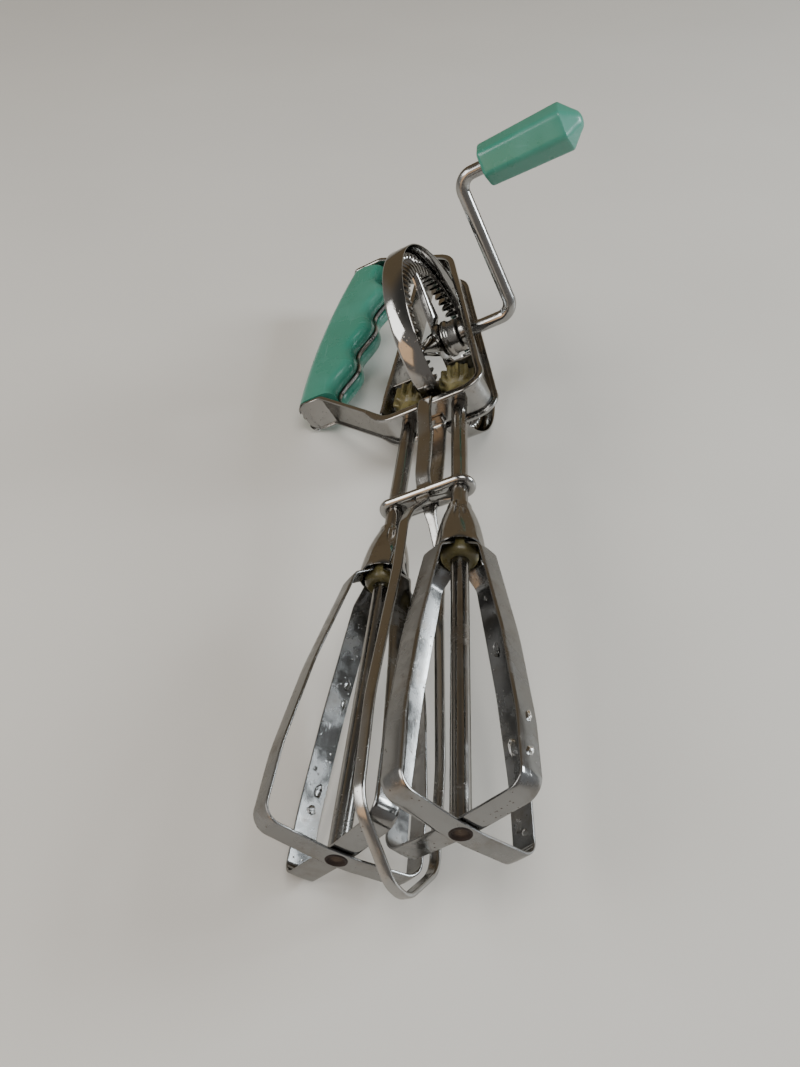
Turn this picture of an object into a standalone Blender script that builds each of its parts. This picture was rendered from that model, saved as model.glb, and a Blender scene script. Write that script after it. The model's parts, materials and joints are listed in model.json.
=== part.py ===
"""Rotary hand egg beater, lying on its side: crank, drive wheel, two pinions, two beaters.

Built in an upright working frame and then laid down on the three spots it rests on:
  X runs toward the crank, Y toward the handle, Z toward the front of the beater.
Lengths are in millimetres until the last step, when MM turns them into metres.
"""
import math

import bmesh
import bpy
from mathutils import Matrix, Vector

MM = 0.001
SEAT_GAP = 0.3
BORE_CLEARANCE = 0.1

# Beater shafts and pinions
SHAFT_OFFSET = 9.66
SHAFT_SPLAY = 0.0448
SHAFT_RADIUS = 2.7
JOURNAL_RADIUS = 1.9
SHAFT_TOP = 21.6
PINION_TEETH = 13
PINION_TIP = 7.15
PINION_ROOT = 5.7
PINION_COLLAR = 4.3
PINION_TOOTH_LOW = 9.0
PINION_TOOTH_HIGH = 14.6
PINION_TOP = 18.6

# Drive wheel
WHEEL_RADIUS = 37.3
PLATE_TO_RIM = 5.5
WHEEL_HEIGHT = PLATE_TO_RIM + WHEEL_RADIUS
TOOTH_RING_OUTER = WHEEL_RADIUS - 3.3
TOOTH_RING_INNER = TOOTH_RING_OUTER - 7.0
TOOTH_SPACING = 3.194
WHEEL_TEETH = round(math.pi * (TOOTH_RING_OUTER + TOOTH_RING_INNER) / TOOTH_SPACING)
TOOTH_DEPTH_HALF = 2.5
WHEEL_SHEET_HALF = 0.3
FLANK_SHIFT = 0.077
RIM_LEFT = -3.6
RIM_RIGHT = 4.5
SPOKES = 4
SPOKE_TURN = 60.0
SPOKE_TIP_RADIUS = TOOTH_RING_INNER + 2.0
SPOKE_BASE_RADIUS = 7.0
SPOKE_TIP_HALF = 1.7
SPOKE_BASE_HALF = 4.2
HUB_RADIUS = 7.0
HUB_START = 2.9
HUB_END = 8.6
BEARING_START = 9.3
BEARING_RADIUS = 5.0

# Frame strip
STRIP_HALF_WIDTH = 6.75
STRIP_HALF_SHEET = 0.45
ARM_LIP = 1.3
PLATE_FRONT_LIP = 4.6
PLATE_BACK_LIP = 2.4
LIP_FADE_HEIGHT = 9.0
FRAME_BOTTOM_LEFT = -(SHAFT_OFFSET + 6.44)
FRAME_BOTTOM_RIGHT = SHAFT_OFFSET + 10.44
FRAME_CROWN = (4.0, WHEEL_HEIGHT + WHEEL_RADIUS + 10.6)
FOOT_SLOPE = 0.93
SHOULDER_X = -30.6
LEFT_WALL_HALF_WIDTH = 5.6
LEFT_WALL_LIP = 1.3
LEFT_WALL_LOW = (-18.5, 4.5)
LEFT_WALL_BEND = (-14.3, 38.6)
LEFT_WALL_TOP_X = -8.75
TAB_HEIGHT = 20.0
TAB_REACH = 6.2
TAB_HALF_WIDTH = 4.4
NOTCH_HALF_WIDTH = 3.1

# Handle
HANDLE_LOW = 30.35
HANDLE_HIGH = 115.0
HANDLE_HALF_DEPTH = 7.1
HANDLE_CORE_HALF = 0.8
HANDLE_CORE_PROUD = 0.6
HANDLE_BACK_X = -59.2
HANDLE_BACK_BOW = 13.4
FINGER_BASE_X = -42.6
FINGER_LEAN = 0.2305
FINGER_BEND_HEIGHT = 92.0
FINGER_TOP_LEAN = -0.105
FINGER_PITCH = 22.9
FINGER_FIRST = 46.9
FINGER_SWELL = 1.9
ARM_SLOPE = ((HANDLE_HIGH + SEAT_GAP + STRIP_HALF_SHEET - FRAME_CROWN[1])
             / (FRAME_CROWN[0] - SHOULDER_X))

# Crank and knob
CRANK_ROD_RADIUS = 2.4
CRANK_ROD_START = -16.6
CRANK_STOP_START = -16.3
CRANK_ELBOW_OUT = 30.3
CRANK_TOP_OUT = 31.7
CRANK_RADIUS = 50.6
CRANK_ANGLE = 17.4
CRANK_BEND = 5.5
KNOB_START = 41.8
KNOB_SHOULDER = 72.0
KNOB_TIP = 78.4
KNOB_BASE_RADIUS = 7.8
KNOB_END_RADIUS = 8.8
STUB_END = 66.0

# Bells, bushings and blades, at distances down the shaft from the plate
COLLAR_DISTANCE = 42.9
BELL_TOP = 52.8
BELL_BOTTOM = 73.2
BELL_RADIUS = 7.7
BUSHING_TOP = 68.2
BUSHING_BOTTOM = 76.4
BUSHING_RADIUS = 5.75
BLADE_TOP = 68.4
BLADE_FLARE = 73.9
BLADE_TOP_RADIUS = 6.45
BLADE_RADIUS = 22.4
BLADE_HALF_WIDTH = 3.5
BLADE_HALF_SHEET = 0.4
BLADE_END = 162.9
RIGHT_BLADE_TURN = 17.3
LEFT_BLADE_TURN = 27.7

# Guard loop and collar plate
LOOP_HALF_UPPER = 2.6
LOOP_HALF_LOWER = 1.55
LOOP_HALF_SHEET = 0.7
LOOP_AT_COLLAR = 2.6
LOOP_WIDEST = BLADE_END - 30.9
LOOP_END = BLADE_END + 11.4
LOOP_SKEW = 2.2
LOOP_BULGE = 1.4 + math.sqrt(
    BLADE_RADIUS ** 2 - (SHAFT_OFFSET + SHAFT_SPLAY * LOOP_WIDEST - LOOP_HALF_LOWER) ** 2)
PLATE_HALF_LENGTH = SHAFT_OFFSET + SHAFT_SPLAY * COLLAR_DISTANCE + 5.3
PLATE_HALF_WIDTH = 4.7


def clear_scene():
    for old in list(bpy.data.objects):
        bpy.data.objects.remove(old, do_unlink=True)


def material(name, color, metallic, roughness):
    made = bpy.data.materials.new(name)
    made.use_nodes = True
    shader = made.node_tree.nodes["Principled BSDF"]
    shader.inputs["Base Color"].default_value = (*color, 1.0)
    shader.inputs["Metallic"].default_value = metallic
    shader.inputs["Roughness"].default_value = roughness
    return made


def chrome(name):
    return material(name, (0.78, 0.77, 0.75), 1.0, 0.14)


def nylon(name):
    return material(name, (0.42, 0.38, 0.16), 0.0, 0.45)


def turquoise(name):
    return material(name, (0.07, 0.42, 0.32), 0.0, 0.3)


def group(name, parent, place=(0.0, 0.0, 0.0), turn=0.0):
    empty = bpy.data.objects.new(name, None)
    empty.empty_display_size = 0.01
    bpy.context.collection.objects.link(empty)
    empty.parent = parent
    empty.location = Vector(place) * MM
    empty.rotation_euler = (0.0, 0.0, turn)
    return empty


def piece(name, verts, faces, look, parent, smooth=True):
    bm = bmesh.new()
    made = [bm.verts.new(Vector(v) * MM) for v in verts]
    for face in faces:
        bm.faces.new([made[i] for i in face])
    bmesh.ops.recalc_face_normals(bm, faces=bm.faces)
    for face in bm.faces:
        face.smooth = smooth
    mesh = bpy.data.meshes.new(name)
    bm.to_mesh(mesh)
    bm.free()
    obj = bpy.data.objects.new(name, mesh)
    bpy.context.collection.objects.link(obj)
    obj.parent = parent
    if look is not None:
        mesh.materials.append(look)
    return obj


def boolean(target, tool, operation):
    tool.hide_render = True
    tool.display_type = 'WIRE'
    step = target.modifiers.new(tool.name, 'BOOLEAN')
    step.operation = operation
    step.solver = 'EXACT'
    step.object = tool


def loft(rings, closed=False):
    count = len(rings[0])
    total = len(rings)
    verts = [point for ring in rings for point in ring]
    faces = []
    for i in range(total if closed else total - 1):
        near = i * count
        far = ((i + 1) % total) * count
        for k in range(count):
            after = (k + 1) % count
            faces.append((near + k, near + after, far + after, far + k))
    if not closed:
        faces.append(tuple(range(count)))
        faces.append(tuple(range((total - 1) * count, total * count)))
    return verts, faces


def circle_points(radius, count):
    step = 2.0 * math.pi / count
    return [(radius * math.cos(k * step), radius * math.sin(k * step)) for k in range(count)]


def spun(profile, count, axis, closed):
    """Rings about the X or Y axis from (radius, distance along the axis) pairs."""
    rings = []
    for radius, along in profile:
        if axis == 'X':
            rings.append([(along, c, s) for c, s in circle_points(radius, count)])
        else:
            rings.append([(c, along, s) for c, s in circle_points(radius, count)])
    return loft(rings, closed)


def box(low, high):
    rings = []
    for z in (low[2], high[2]):
        rings.append([(low[0], low[1], z), (high[0], low[1], z),
                      (high[0], high[1], z), (low[0], high[1], z)])
    return loft(rings)


def rounded_path(corners, step_angle=15.0):
    """Points along a line whose corners (x, y, ..., radius) are rounded off."""
    spots = [Vector(corner[:-1]) for corner in corners]
    path = [spots[0]]
    for i in range(1, len(spots) - 1):
        radius = corners[i][-1]
        back = (spots[i - 1] - spots[i]).normalized()
        ahead = (spots[i + 1] - spots[i]).normalized()
        bend = math.pi - back.angle(ahead)
        if radius <= 0.0 or bend < 1e-3:
            path.append(spots[i])
            continue
        reach = radius * math.tan(bend / 2.0)
        start = spots[i] + back * reach
        middle = (back + ahead).normalized()
        centre = spots[i] + middle * (radius / math.cos(bend / 2.0))
        first = start - centre
        last = spots[i] + ahead * reach - centre
        steps = max(1, math.ceil(math.degrees(bend) / step_angle))
        for k in range(steps + 1):
            share = k / steps
            sweep = math.sin(bend)
            mix = (first * math.sin((1.0 - share) * bend) + last * math.sin(share * bend)) / sweep
            path.append(centre + mix)
    path.append(spots[-1])
    return path


def sweep(path, section, plane, place=None):
    """Carry a section (outward, sideways) along a flat path.

    plane names the two working axes the path lies in; outward is to the right of travel.
    """
    rings = []
    for i, spot in enumerate(path):
        before = path[max(i - 1, 0)]
        after = path[min(i + 1, len(path) - 1)]
        along_in = (spot - before).normalized() if i > 0 else (after - spot).normalized()
        along_out = (after - spot).normalized() if i < len(path) - 1 else along_in
        along = (along_in + along_out).normalized()
        stretch = 1.0 / max(along.dot(along_in), 0.5)
        outward = Vector((along.y, -along.x))
        ring = []
        for away, side in section(spot):
            flat = spot + outward * away * stretch
            if plane == 'XY':
                point = Vector((flat.x, flat.y, side))
            else:
                point = Vector((side, flat.x, flat.y))
            ring.append(place @ point if place else point)
        rings.append(ring)
    return loft(rings)


def channel_section(half_width, lip_at):
    """Sheet strip with both long edges curled outward."""
    half = STRIP_HALF_SHEET
    wide = half_width

    def edge(lip):
        return [(-half, wide - 1.6), (-0.05, wide - 0.5), (0.7, wide), (lip, wide + 0.25),
                (lip, wide - 0.6), (0.85, wide - 0.85), (half, wide - 1.75)]

    def section(spot):
        front, back = lip_at(spot)
        return edge(front) + [(away, -side) for away, side in reversed(edge(back))]
    return section


def bar_section(half_width_at, half_sheet, chamfer):
    def section(spot):
        wide = half_width_at(spot)
        return [(half_sheet, -wide + chamfer), (half_sheet, wide - chamfer),
                (half_sheet - chamfer, wide), (-half_sheet + chamfer, wide),
                (-half_sheet, wide - chamfer), (-half_sheet, -wide + chamfer),
                (-half_sheet + chamfer, -wide), (half_sheet - chamfer, -wide)]
    return section


def clamp(value):
    return min(max(value, 0.0), 1.0)


def shaft_frame(side):
    return (Matrix.Translation((side * SHAFT_OFFSET, 0.0, 0.0))
            @ Matrix.Rotation(side * SHAFT_SPLAY, 4, 'Z'))


def shaft_cutter(name, side, radius, low, high, parent):
    verts, faces = spun([(radius, -high), (radius, -low)], 24, 'Y', False)
    matrix = shaft_frame(side)
    return piece(name, [matrix @ Vector(v) for v in verts], faces, None, parent)


def axle_cutter(name, radius, left, right, parent):
    verts, faces = spun([(radius, left), (radius, right)], 24, 'X', False)
    verts = [(x, y + WHEEL_HEIGHT, z) for x, y, z in verts]
    return piece(name, verts, faces, None, parent)


def wall_line(height):
    """Sideways place of the right wall's middle sheet at a given height."""
    slope = (FRAME_CROWN[0] - FRAME_BOTTOM_RIGHT) / FRAME_CROWN[1]
    return FRAME_BOTTOM_RIGHT + slope * height


def frame_lip(spot):
    """Depth of the front and back lips: deep along the plate, shallow elsewhere."""
    if spot.x < -24.0:
        return ARM_LIP, ARM_LIP
    deep = clamp((LIP_FADE_HEIGHT - spot.y) / 7.0)
    return (ARM_LIP + (PLATE_FRONT_LIP - ARM_LIP) * deep,
            ARM_LIP + (PLATE_BACK_LIP - ARM_LIP) * deep)


def build_frame_strip(parent):
    low_line = HANDLE_LOW - SEAT_GAP - STRIP_HALF_SHEET
    high_line = HANDLE_HIGH + SEAT_GAP + STRIP_HALF_SHEET
    crown_x, crown_y = FRAME_CROWN
    arm_x = FRAME_BOTTOM_LEFT - low_line / FOOT_SLOPE
    path = rounded_path([
        (outer_side(HANDLE_LOW) + 0.6, low_line, 0.0),
        (arm_x, low_line, 4.0),
        (FRAME_BOTTOM_LEFT, 0.0, 8.0),
        (FRAME_BOTTOM_RIGHT, 0.0, 5.5),
        (crown_x, crown_y, 14.0),
        (SHOULDER_X, high_line, 4.0),
        (outer_side(HANDLE_HIGH) + 0.6, high_line, 0.0)])
    strip = piece("frame_strip", *sweep(path, channel_section(STRIP_HALF_WIDTH, frame_lip), 'XY'),
                  chrome("frame_strip_chrome"), parent)
    tab = piece("right_tab_stock", *box(
        (TAB_REACH, TAB_HEIGHT - STRIP_HALF_SHEET, -TAB_HALF_WIDTH),
        (wall_line(TAB_HEIGHT) + 0.2, TAB_HEIGHT + STRIP_HALF_SHEET, TAB_HALF_WIDTH)),
        None, parent)
    boolean(strip, tab, 'UNION')
    boolean(strip, shaft_cutter("right_plate_bore", 1, SHAFT_RADIUS + BORE_CLEARANCE,
                                -4.0, 4.0, parent), 'DIFFERENCE')
    boolean(strip, shaft_cutter("left_plate_bore", -1, SHAFT_RADIUS + BORE_CLEARANCE,
                                -4.0, 4.0, parent), 'DIFFERENCE')
    boolean(strip, shaft_cutter("right_tab_bore", 1, JOURNAL_RADIUS + BORE_CLEARANCE,
                                -TAB_HEIGHT - 3.0, -TAB_HEIGHT + 3.0, parent), 'DIFFERENCE')
    notch = piece("strap_notch", *box((-NOTCH_HALF_WIDTH, -8.0, 5.5),
                                      (NOTCH_HALF_WIDTH, 2.0, 9.0)), None, parent)
    boolean(strip, notch, 'DIFFERENCE')
    boolean(strip, axle_cutter("right_wall_bore", CRANK_ROD_RADIUS + BORE_CLEARANCE,
                               8.0, 20.0, parent), 'DIFFERENCE')


def build_left_wall(parent):
    low = LEFT_WALL_LOW
    middle = LEFT_WALL_BEND
    arm_y = FRAME_CROWN[1] + ARM_SLOPE * (FRAME_CROWN[0] - LEFT_WALL_TOP_X - STRIP_HALF_SHEET)
    top_y = arm_y - (2.0 * STRIP_HALF_SHEET + 0.1) * math.hypot(1.0, ARM_SLOPE)
    high = (LEFT_WALL_TOP_X, top_y)

    def lip_at(spot):
        low_fade = clamp((spot.y - 7.0) / 8.0)
        high_fade = clamp((top_y - 3.0 - spot.y) / 6.0)
        lip = 0.86 + (LEFT_WALL_LIP - 0.86) * low_fade * high_fade
        return lip, lip

    stations = [low]
    for share in (0.15, 0.4, 1.0):
        stations.append((low[0] + share * (middle[0] - low[0]),
                         low[1] + share * (middle[1] - low[1])))
    for share in (0.5, 0.85, 1.0):
        stations.append((middle[0] + share * (high[0] - middle[0]),
                         middle[1] + share * (high[1] - middle[1])))
    path = [Vector(spot) for spot in reversed(stations)]
    wall = piece("left_wall", *sweep(path, channel_section(LEFT_WALL_HALF_WIDTH, lip_at), 'XY'),
                 chrome("left_wall_chrome"), parent)
    share = (TAB_HEIGHT - low[1]) / (middle[1] - low[1])
    inside = low[0] + share * (middle[0] - low[0])
    tab = piece("left_tab_stock", *box(
        (inside - 0.2, TAB_HEIGHT - STRIP_HALF_SHEET, -TAB_HALF_WIDTH),
        (-TAB_REACH, TAB_HEIGHT + STRIP_HALF_SHEET, TAB_HALF_WIDTH)), None, parent)
    boolean(wall, tab, 'UNION')
    boolean(wall, shaft_cutter("left_tab_bore", -1, JOURNAL_RADIUS + BORE_CLEARANCE,
                               -TAB_HEIGHT - 3.0, -TAB_HEIGHT + 3.0, parent), 'DIFFERENCE')
    boolean(wall, axle_cutter("left_wall_bore", CRANK_ROD_RADIUS + BORE_CLEARANCE,
                              -20.0, -8.0, parent), 'DIFFERENCE')


def outer_side(height):
    """Back edge of the handle: a long shallow curve."""
    share = (height - HANDLE_LOW) / (HANDLE_HIGH - HANDLE_LOW)
    return HANDLE_BACK_X + 0.6 * share + HANDLE_BACK_BOW * share * share


def finger_side(height):
    """Finger edge of the handle: four swellings on a bent base line."""
    bend = min(height, FINGER_BEND_HEIGHT)
    base = FINGER_BASE_X + FINGER_LEAN * (bend - HANDLE_LOW) + FINGER_TOP_LEAN * (height - bend)
    wave = math.cos(2.0 * math.pi * (height - FINGER_FIRST) / FINGER_PITCH)
    arm = FRAME_CROWN[0] - (height - FRAME_CROWN[1]) / ARM_SLOPE
    room = (STRIP_HALF_SHEET + SEAT_GAP + HANDLE_CORE_PROUD) * math.hypot(1.0, 1.0 / ARM_SLOPE)
    return min(base + FINGER_SWELL * wave, arm - room - 0.1)


def handle_outline(steps=34):
    span = HANDLE_HIGH - HANDLE_LOW
    heights = [HANDLE_LOW + span * k / steps for k in range(steps + 1)]
    finger = [Vector((finger_side(y), y)) for y in heights]
    outer = [Vector((outer_side(y), y)) for y in reversed(heights[::2])]
    return finger + outer


def grown(outline, by):
    """The outline with its long sides moved out by a distance; the ends stay in line."""
    moved = []
    for i, spot in enumerate(outline):
        before = outline[i - 1]
        after = outline[(i + 1) % len(outline)]
        if abs(before.y - spot.y) < 1e-6 or abs(after.y - spot.y) < 1e-6:
            outward = Vector((1.0, 0.0)) if spot.x > -45.0 + spot.y * 0.05 else Vector((-1.0, 0.0))
        else:
            along = (after - before).normalized()
            outward = Vector((along.y, -along.x))
        out_x = spot.x + outward.x * by
        out_y = min(max(spot.y + outward.y * by, HANDLE_LOW), HANDLE_HIGH)
        moved.append(Vector((out_x, out_y)))
    return moved


def build_handle(parent):
    outline = handle_outline()
    proud = grown(outline, HANDLE_CORE_PROUD)
    rings = [[(p.x, p.y, z) for p in proud] for z in (-HANDLE_CORE_HALF, HANDLE_CORE_HALF)]
    piece("handle_core", *loft(rings), chrome("handle_core_chrome"), parent, False)
    deep = HANDLE_HALF_DEPTH
    levels = [(HANDLE_CORE_HALF + SEAT_GAP, 0.0), (deep - 3.2, -0.1), (deep - 1.5, -0.9),
              (deep - 0.4, -2.3), (deep, -4.2)]
    for name, side in (("handle_front", 1), ("handle_back", -1)):
        rings = []
        for z, by in levels:
            rings.append([(p.x, p.y, side * z) for p in grown(outline, by)])
        piece(name, *loft(rings), turquoise(name + "_plastic"), parent)


def build_collar_plate(parent):
    outline = []
    run = PLATE_HALF_LENGTH - PLATE_HALF_WIDTH
    for side, start in ((1, -90.0), (-1, 90.0)):
        for k in range(11):
            angle = math.radians(start + 18.0 * k)
            outline.append((side * run, math.cos(angle), math.sin(angle)))
    rings = []
    for height, inset in ((1.2, 0.9), (0.85, 0.2), (0.0, 0.0), (-0.85, 0.2), (-1.2, 0.9)):
        radius = PLATE_HALF_WIDTH - inset
        rings.append([(x + radius * c, height - COLLAR_DISTANCE, radius * s)
                      for x, c, s in outline])
    plate = piece("collar_plate", *loft(rings), chrome("collar_plate_chrome"), parent)
    for name, side in (("collar_right_bore", 1), ("collar_left_bore", -1)):
        boolean(plate, shaft_cutter(name, side, SHAFT_RADIUS + BORE_CLEARANCE,
                                    COLLAR_DISTANCE - 4.0, COLLAR_DISTANCE + 4.0, parent),
                'DIFFERENCE')
    reach = LOOP_HALF_UPPER + SEAT_GAP
    for name, side in (("front_slot", 1), ("back_slot", -1)):
        near = sorted((side * (LOOP_AT_COLLAR - LOOP_HALF_SHEET - 0.25),
                       side * (LOOP_AT_COLLAR + LOOP_HALF_SHEET + 0.25)))
        slot = piece(name, *box((-reach, -COLLAR_DISTANCE - 3.0, near[0]),
                                (reach, -COLLAR_DISTANCE + 3.0, near[1])), None, parent)
        boolean(plate, slot, 'DIFFERENCE')


def build_guard_loop(parent):
    end = LOOP_END
    bulge = LOOP_BULGE
    sheet = STRIP_HALF_SHEET + SEAT_GAP + LOOP_HALF_SHEET
    collar = -COLLAR_DISTANCE
    at_collar = LOOP_AT_COLLAR
    shared = [(collar + 3.5, at_collar, 3.0), (collar - 4.2, at_collar, 4.0),
              (collar - 14.6, 9.2, 6.0), (collar - 21.6, 11.6, 14.0), (collar - 41.1, 12.6, 40.0),
              (-LOOP_WIDEST, bulge, 60.0), (12.6 - end, bulge, 10.0)]
    front = [(sheet, 1.0, 0.0), (sheet, 6.35, 1.6), (-1.6, 6.75, 6.0), (-7.0, 6.6, 20.0),
             (-17.0, 4.5, 20.0), (-35.0, 4.2, 14.0)]
    back = [(-35.0, 4.4, 14.0), (-15.0, 4.9, 20.0), (-sheet, 4.4, 1.8), (-sheet, 1.0, 0.0)]
    corners = front + shared + [(-end, 3.6 - LOOP_SKEW, 8.0), (-end, -3.6 - LOOP_SKEW, 8.0)]
    corners += [(y, -z, r) for y, z, r in reversed(shared)]
    corners += [(y, -z, r) for y, z, r in back]
    path = rounded_path(corners)

    def width_at(spot):
        share = clamp((spot.x - collar + 8.0) / 7.0)
        return LOOP_HALF_LOWER + (LOOP_HALF_UPPER - LOOP_HALF_LOWER) * share

    piece("guard_loop", *sweep(path, bar_section(width_at, LOOP_HALF_SHEET, 0.3), 'YZ'),
          chrome("guard_loop_chrome"), parent)


def build_bearing(parent):
    bore = CRANK_ROD_RADIUS + BORE_CLEARANCE
    count = 28
    rings = []
    for radius, along in ((bore, 'end'), (bore, BEARING_START), (BEARING_RADIUS - 0.5, BEARING_START),
                          (BEARING_RADIUS, BEARING_START + 0.5), (BEARING_RADIUS, 'end')):
        ring = []
        for c, s in circle_points(radius, count):
            height = WHEEL_HEIGHT + c
            reach = along
            if along == 'end':
                reach = wall_line(height) - STRIP_HALF_SHEET / 0.98 - SEAT_GAP
            ring.append((reach, height, s))
        rings.append(ring)
    piece("crank_bearing", *loft(rings, True), chrome("crank_bearing_chrome"), parent)


def wheel_ring(radius, swell, level, front):
    """One ring of the toothed sheet: four points to each tooth."""
    shift = FLANK_SHIFT if front else -FLANK_SHIFT
    lift = WHEEL_SHEET_HALF if front else -WHEEL_SHEET_HALF
    phases = ((-0.125 - shift, 1), (0.125 + shift, 1), (0.375 + shift, -1), (0.625 - shift, -1))
    ring = []
    for tooth in range(WHEEL_TEETH):
        for phase, sign in phases:
            angle = 2.0 * math.pi * (tooth + phase + 0.5) / WHEEL_TEETH - math.pi / 2.0
            ring.append((level + swell * sign * TOOTH_DEPTH_HALF + lift,
                         radius * math.cos(angle + math.pi / 2.0) * -1.0,
                         radius * math.sin(angle + math.pi / 2.0)))
    return ring


def rim_ring(radius, along):
    ring = []
    for tooth in range(WHEEL_TEETH):
        angle = 2.0 * math.pi * tooth / WHEEL_TEETH
        ring.append((along, -radius * math.cos(angle), radius * math.sin(angle)))
    return ring


def build_wheel(parent):
    fine = 4 * WHEEL_TEETH
    verts = []
    faces = []

    def add_ring(ring):
        start = len(verts)
        verts.extend(ring)
        return start

    def bridge(near, far, count):
        for k in range(count):
            after = (k + 1) % count
            faces.append((near + k, near + after, far + after, far + k))

    ends = []
    for front in (True, False):
        starts = [add_ring(wheel_ring(radius, swell, 0.0, front)) for radius, swell in (
            (TOOTH_RING_INNER, 1.0), (TOOTH_RING_OUTER, 1.0), (TOOTH_RING_OUTER + 1.0, 0.0))]
        for near, far in zip(starts, starts[1:]):
            bridge(near, far, fine)
        turn = WHEEL_RADIUS
        if front:
            rows = [(turn - 1.8, WHEEL_SHEET_HALF), (turn - 1.3, -1.4), (turn - 0.65, RIM_LEFT + 1.0),
                    (turn - 0.6, RIM_RIGHT)]
        else:
            rows = [(turn - 1.8, -WHEEL_SHEET_HALF), (turn - 1.6, -2.0), (turn - 0.9, RIM_LEFT + 0.1),
                    (turn - 0.3, RIM_LEFT), (turn, RIM_LEFT + 0.6), (turn, RIM_RIGHT)]
        coarse = [add_ring(rim_ring(radius, along)) for radius, along in rows]
        edge = starts[-1]
        for tooth in range(WHEEL_TEETH):
            spots = [edge + (4 * tooth - 2 + k) % fine for k in range(5)]
            ahead = (tooth + 1) % WHEEL_TEETH
            faces.append(tuple(spots) + (coarse[0] + ahead, coarse[0] + tooth))
        for near, far in zip(coarse, coarse[1:]):
            bridge(near, far, WHEEL_TEETH)
        ends.append((starts[0], coarse[-1]))
    bridge(ends[0][0], ends[1][0], fine)
    bridge(ends[0][1], ends[1][1], WHEEL_TEETH)
    wheel = piece("drive_wheel", verts, faces, chrome("drive_wheel_chrome"), parent, False)
    boolean(wheel, build_spider(parent), 'UNION')
    bore = piece("wheel_bore", *spun([(CRANK_ROD_RADIUS + BORE_CLEARANCE, -4.0),
                                      (CRANK_ROD_RADIUS + BORE_CLEARANCE, 6.0)], 24, 'X', False),
                 None, parent)
    boolean(wheel, bore, 'DIFFERENCE')


def build_spider(parent):
    """Hub plate and tapered ridged spokes pressed in one sheet."""
    low = []
    high = []
    ridge = []
    for k in range(SPOKES):
        angle = math.radians(SPOKE_TURN + 360.0 * k / SPOKES)
        along = Vector((0.0, math.cos(angle), math.sin(angle)))
        across = Vector((0.0, -math.sin(angle), math.cos(angle)))
        for reach, side in ((SPOKE_BASE_RADIUS, -SPOKE_BASE_HALF), (SPOKE_TIP_RADIUS, -SPOKE_TIP_HALF),
                            (SPOKE_TIP_RADIUS, SPOKE_TIP_HALF), (SPOKE_BASE_RADIUS, SPOKE_BASE_HALF)):
            spot = along * reach + across * side
            low.append(spot + Vector((-0.5, 0.0, 0.0)))
            high.append(spot + Vector((0.4, 0.0, 0.0)))
        ridge.append(along * SPOKE_BASE_RADIUS + Vector((2.5, 0.0, 0.0)))
        ridge.append(along * SPOKE_TIP_RADIUS + Vector((1.5, 0.0, 0.0)))
    count = len(low)
    verts = low + high + ridge
    faces = [tuple(range(count))]
    for k in range(count):
        after = (k + 1) % count
        faces.append((k, after, count + after, count + k))
    hub = []
    for k in range(SPOKES):
        base_left, tip_left, tip_right, base_right = (count + 4 * k + i for i in range(4))
        ridge_base = 2 * count + 2 * k
        ridge_tip = ridge_base + 1
        faces.append((base_left, tip_left, ridge_tip, ridge_base))
        faces.append((ridge_base, ridge_tip, tip_right, base_right))
        faces.append((tip_left, tip_right, ridge_tip))
        hub += [base_left, ridge_base, base_right]
    centre = len(verts)
    verts.append(Vector((2.5, 0.0, 0.0)))
    for k in range(len(hub)):
        faces.append((hub[k], hub[(k + 1) % len(hub)], centre))
    return piece("wheel_spider", verts, faces, None, parent, False)


def build_crank(axle):
    bore = CRANK_ROD_RADIUS + BORE_CLEARANCE
    lean = math.radians(CRANK_ANGLE)
    up = CRANK_RADIUS * math.sin(lean)
    out = CRANK_RADIUS * math.cos(lean)
    path = rounded_path([(CRANK_ROD_START, 0.0, 0.0, 0.0), (CRANK_ELBOW_OUT, 0.0, 0.0, CRANK_BEND),
                         (CRANK_TOP_OUT, up, out, CRANK_BEND), (STUB_END, up, out, 0.0)])
    rings = []
    side = Vector((0.0, -math.cos(lean), math.sin(lean)))
    for i, spot in enumerate(path):
        before = path[max(i - 1, 0)]
        after = path[min(i + 1, len(path) - 1)]
        along = (after - before).normalized()
        if 0 < i < len(path) - 1:
            along = ((spot - before).normalized() + (after - spot).normalized()).normalized()
        other = along.cross(side).normalized()
        rings.append([spot + side * c + other * s for c, s in circle_points(CRANK_ROD_RADIUS, 20)])
    piece("crank_rod", *loft(rings), chrome("crank_rod_chrome"), axle)
    hub = [(bore, HUB_START), (HUB_RADIUS, HUB_START), (HUB_RADIUS, HUB_START + 1.6),
           (HUB_RADIUS - 0.8, HUB_START + 2.4), (HUB_RADIUS - 0.8, HUB_END - 0.5),
           (HUB_RADIUS - 1.3, HUB_END), (bore, HUB_END)]
    piece("wheel_hub", *spun(hub, 28, 'X', True), chrome("wheel_hub_chrome"), axle)
    stop = [(bore, 0.0), (3.5, 0.0), (4.1, 0.4), (4.1, 0.8), (3.4, 1.0), (bore, 1.0)]
    stop = [(radius, CRANK_STOP_START + along) for radius, along in stop]
    piece("crank_stop", *spun(stop, 24, 'X', True), chrome("crank_stop_chrome"), axle)
    knob_axis = group("knob_axis", axle, (KNOB_START, up, out))
    build_knob(knob_axis)


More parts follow.
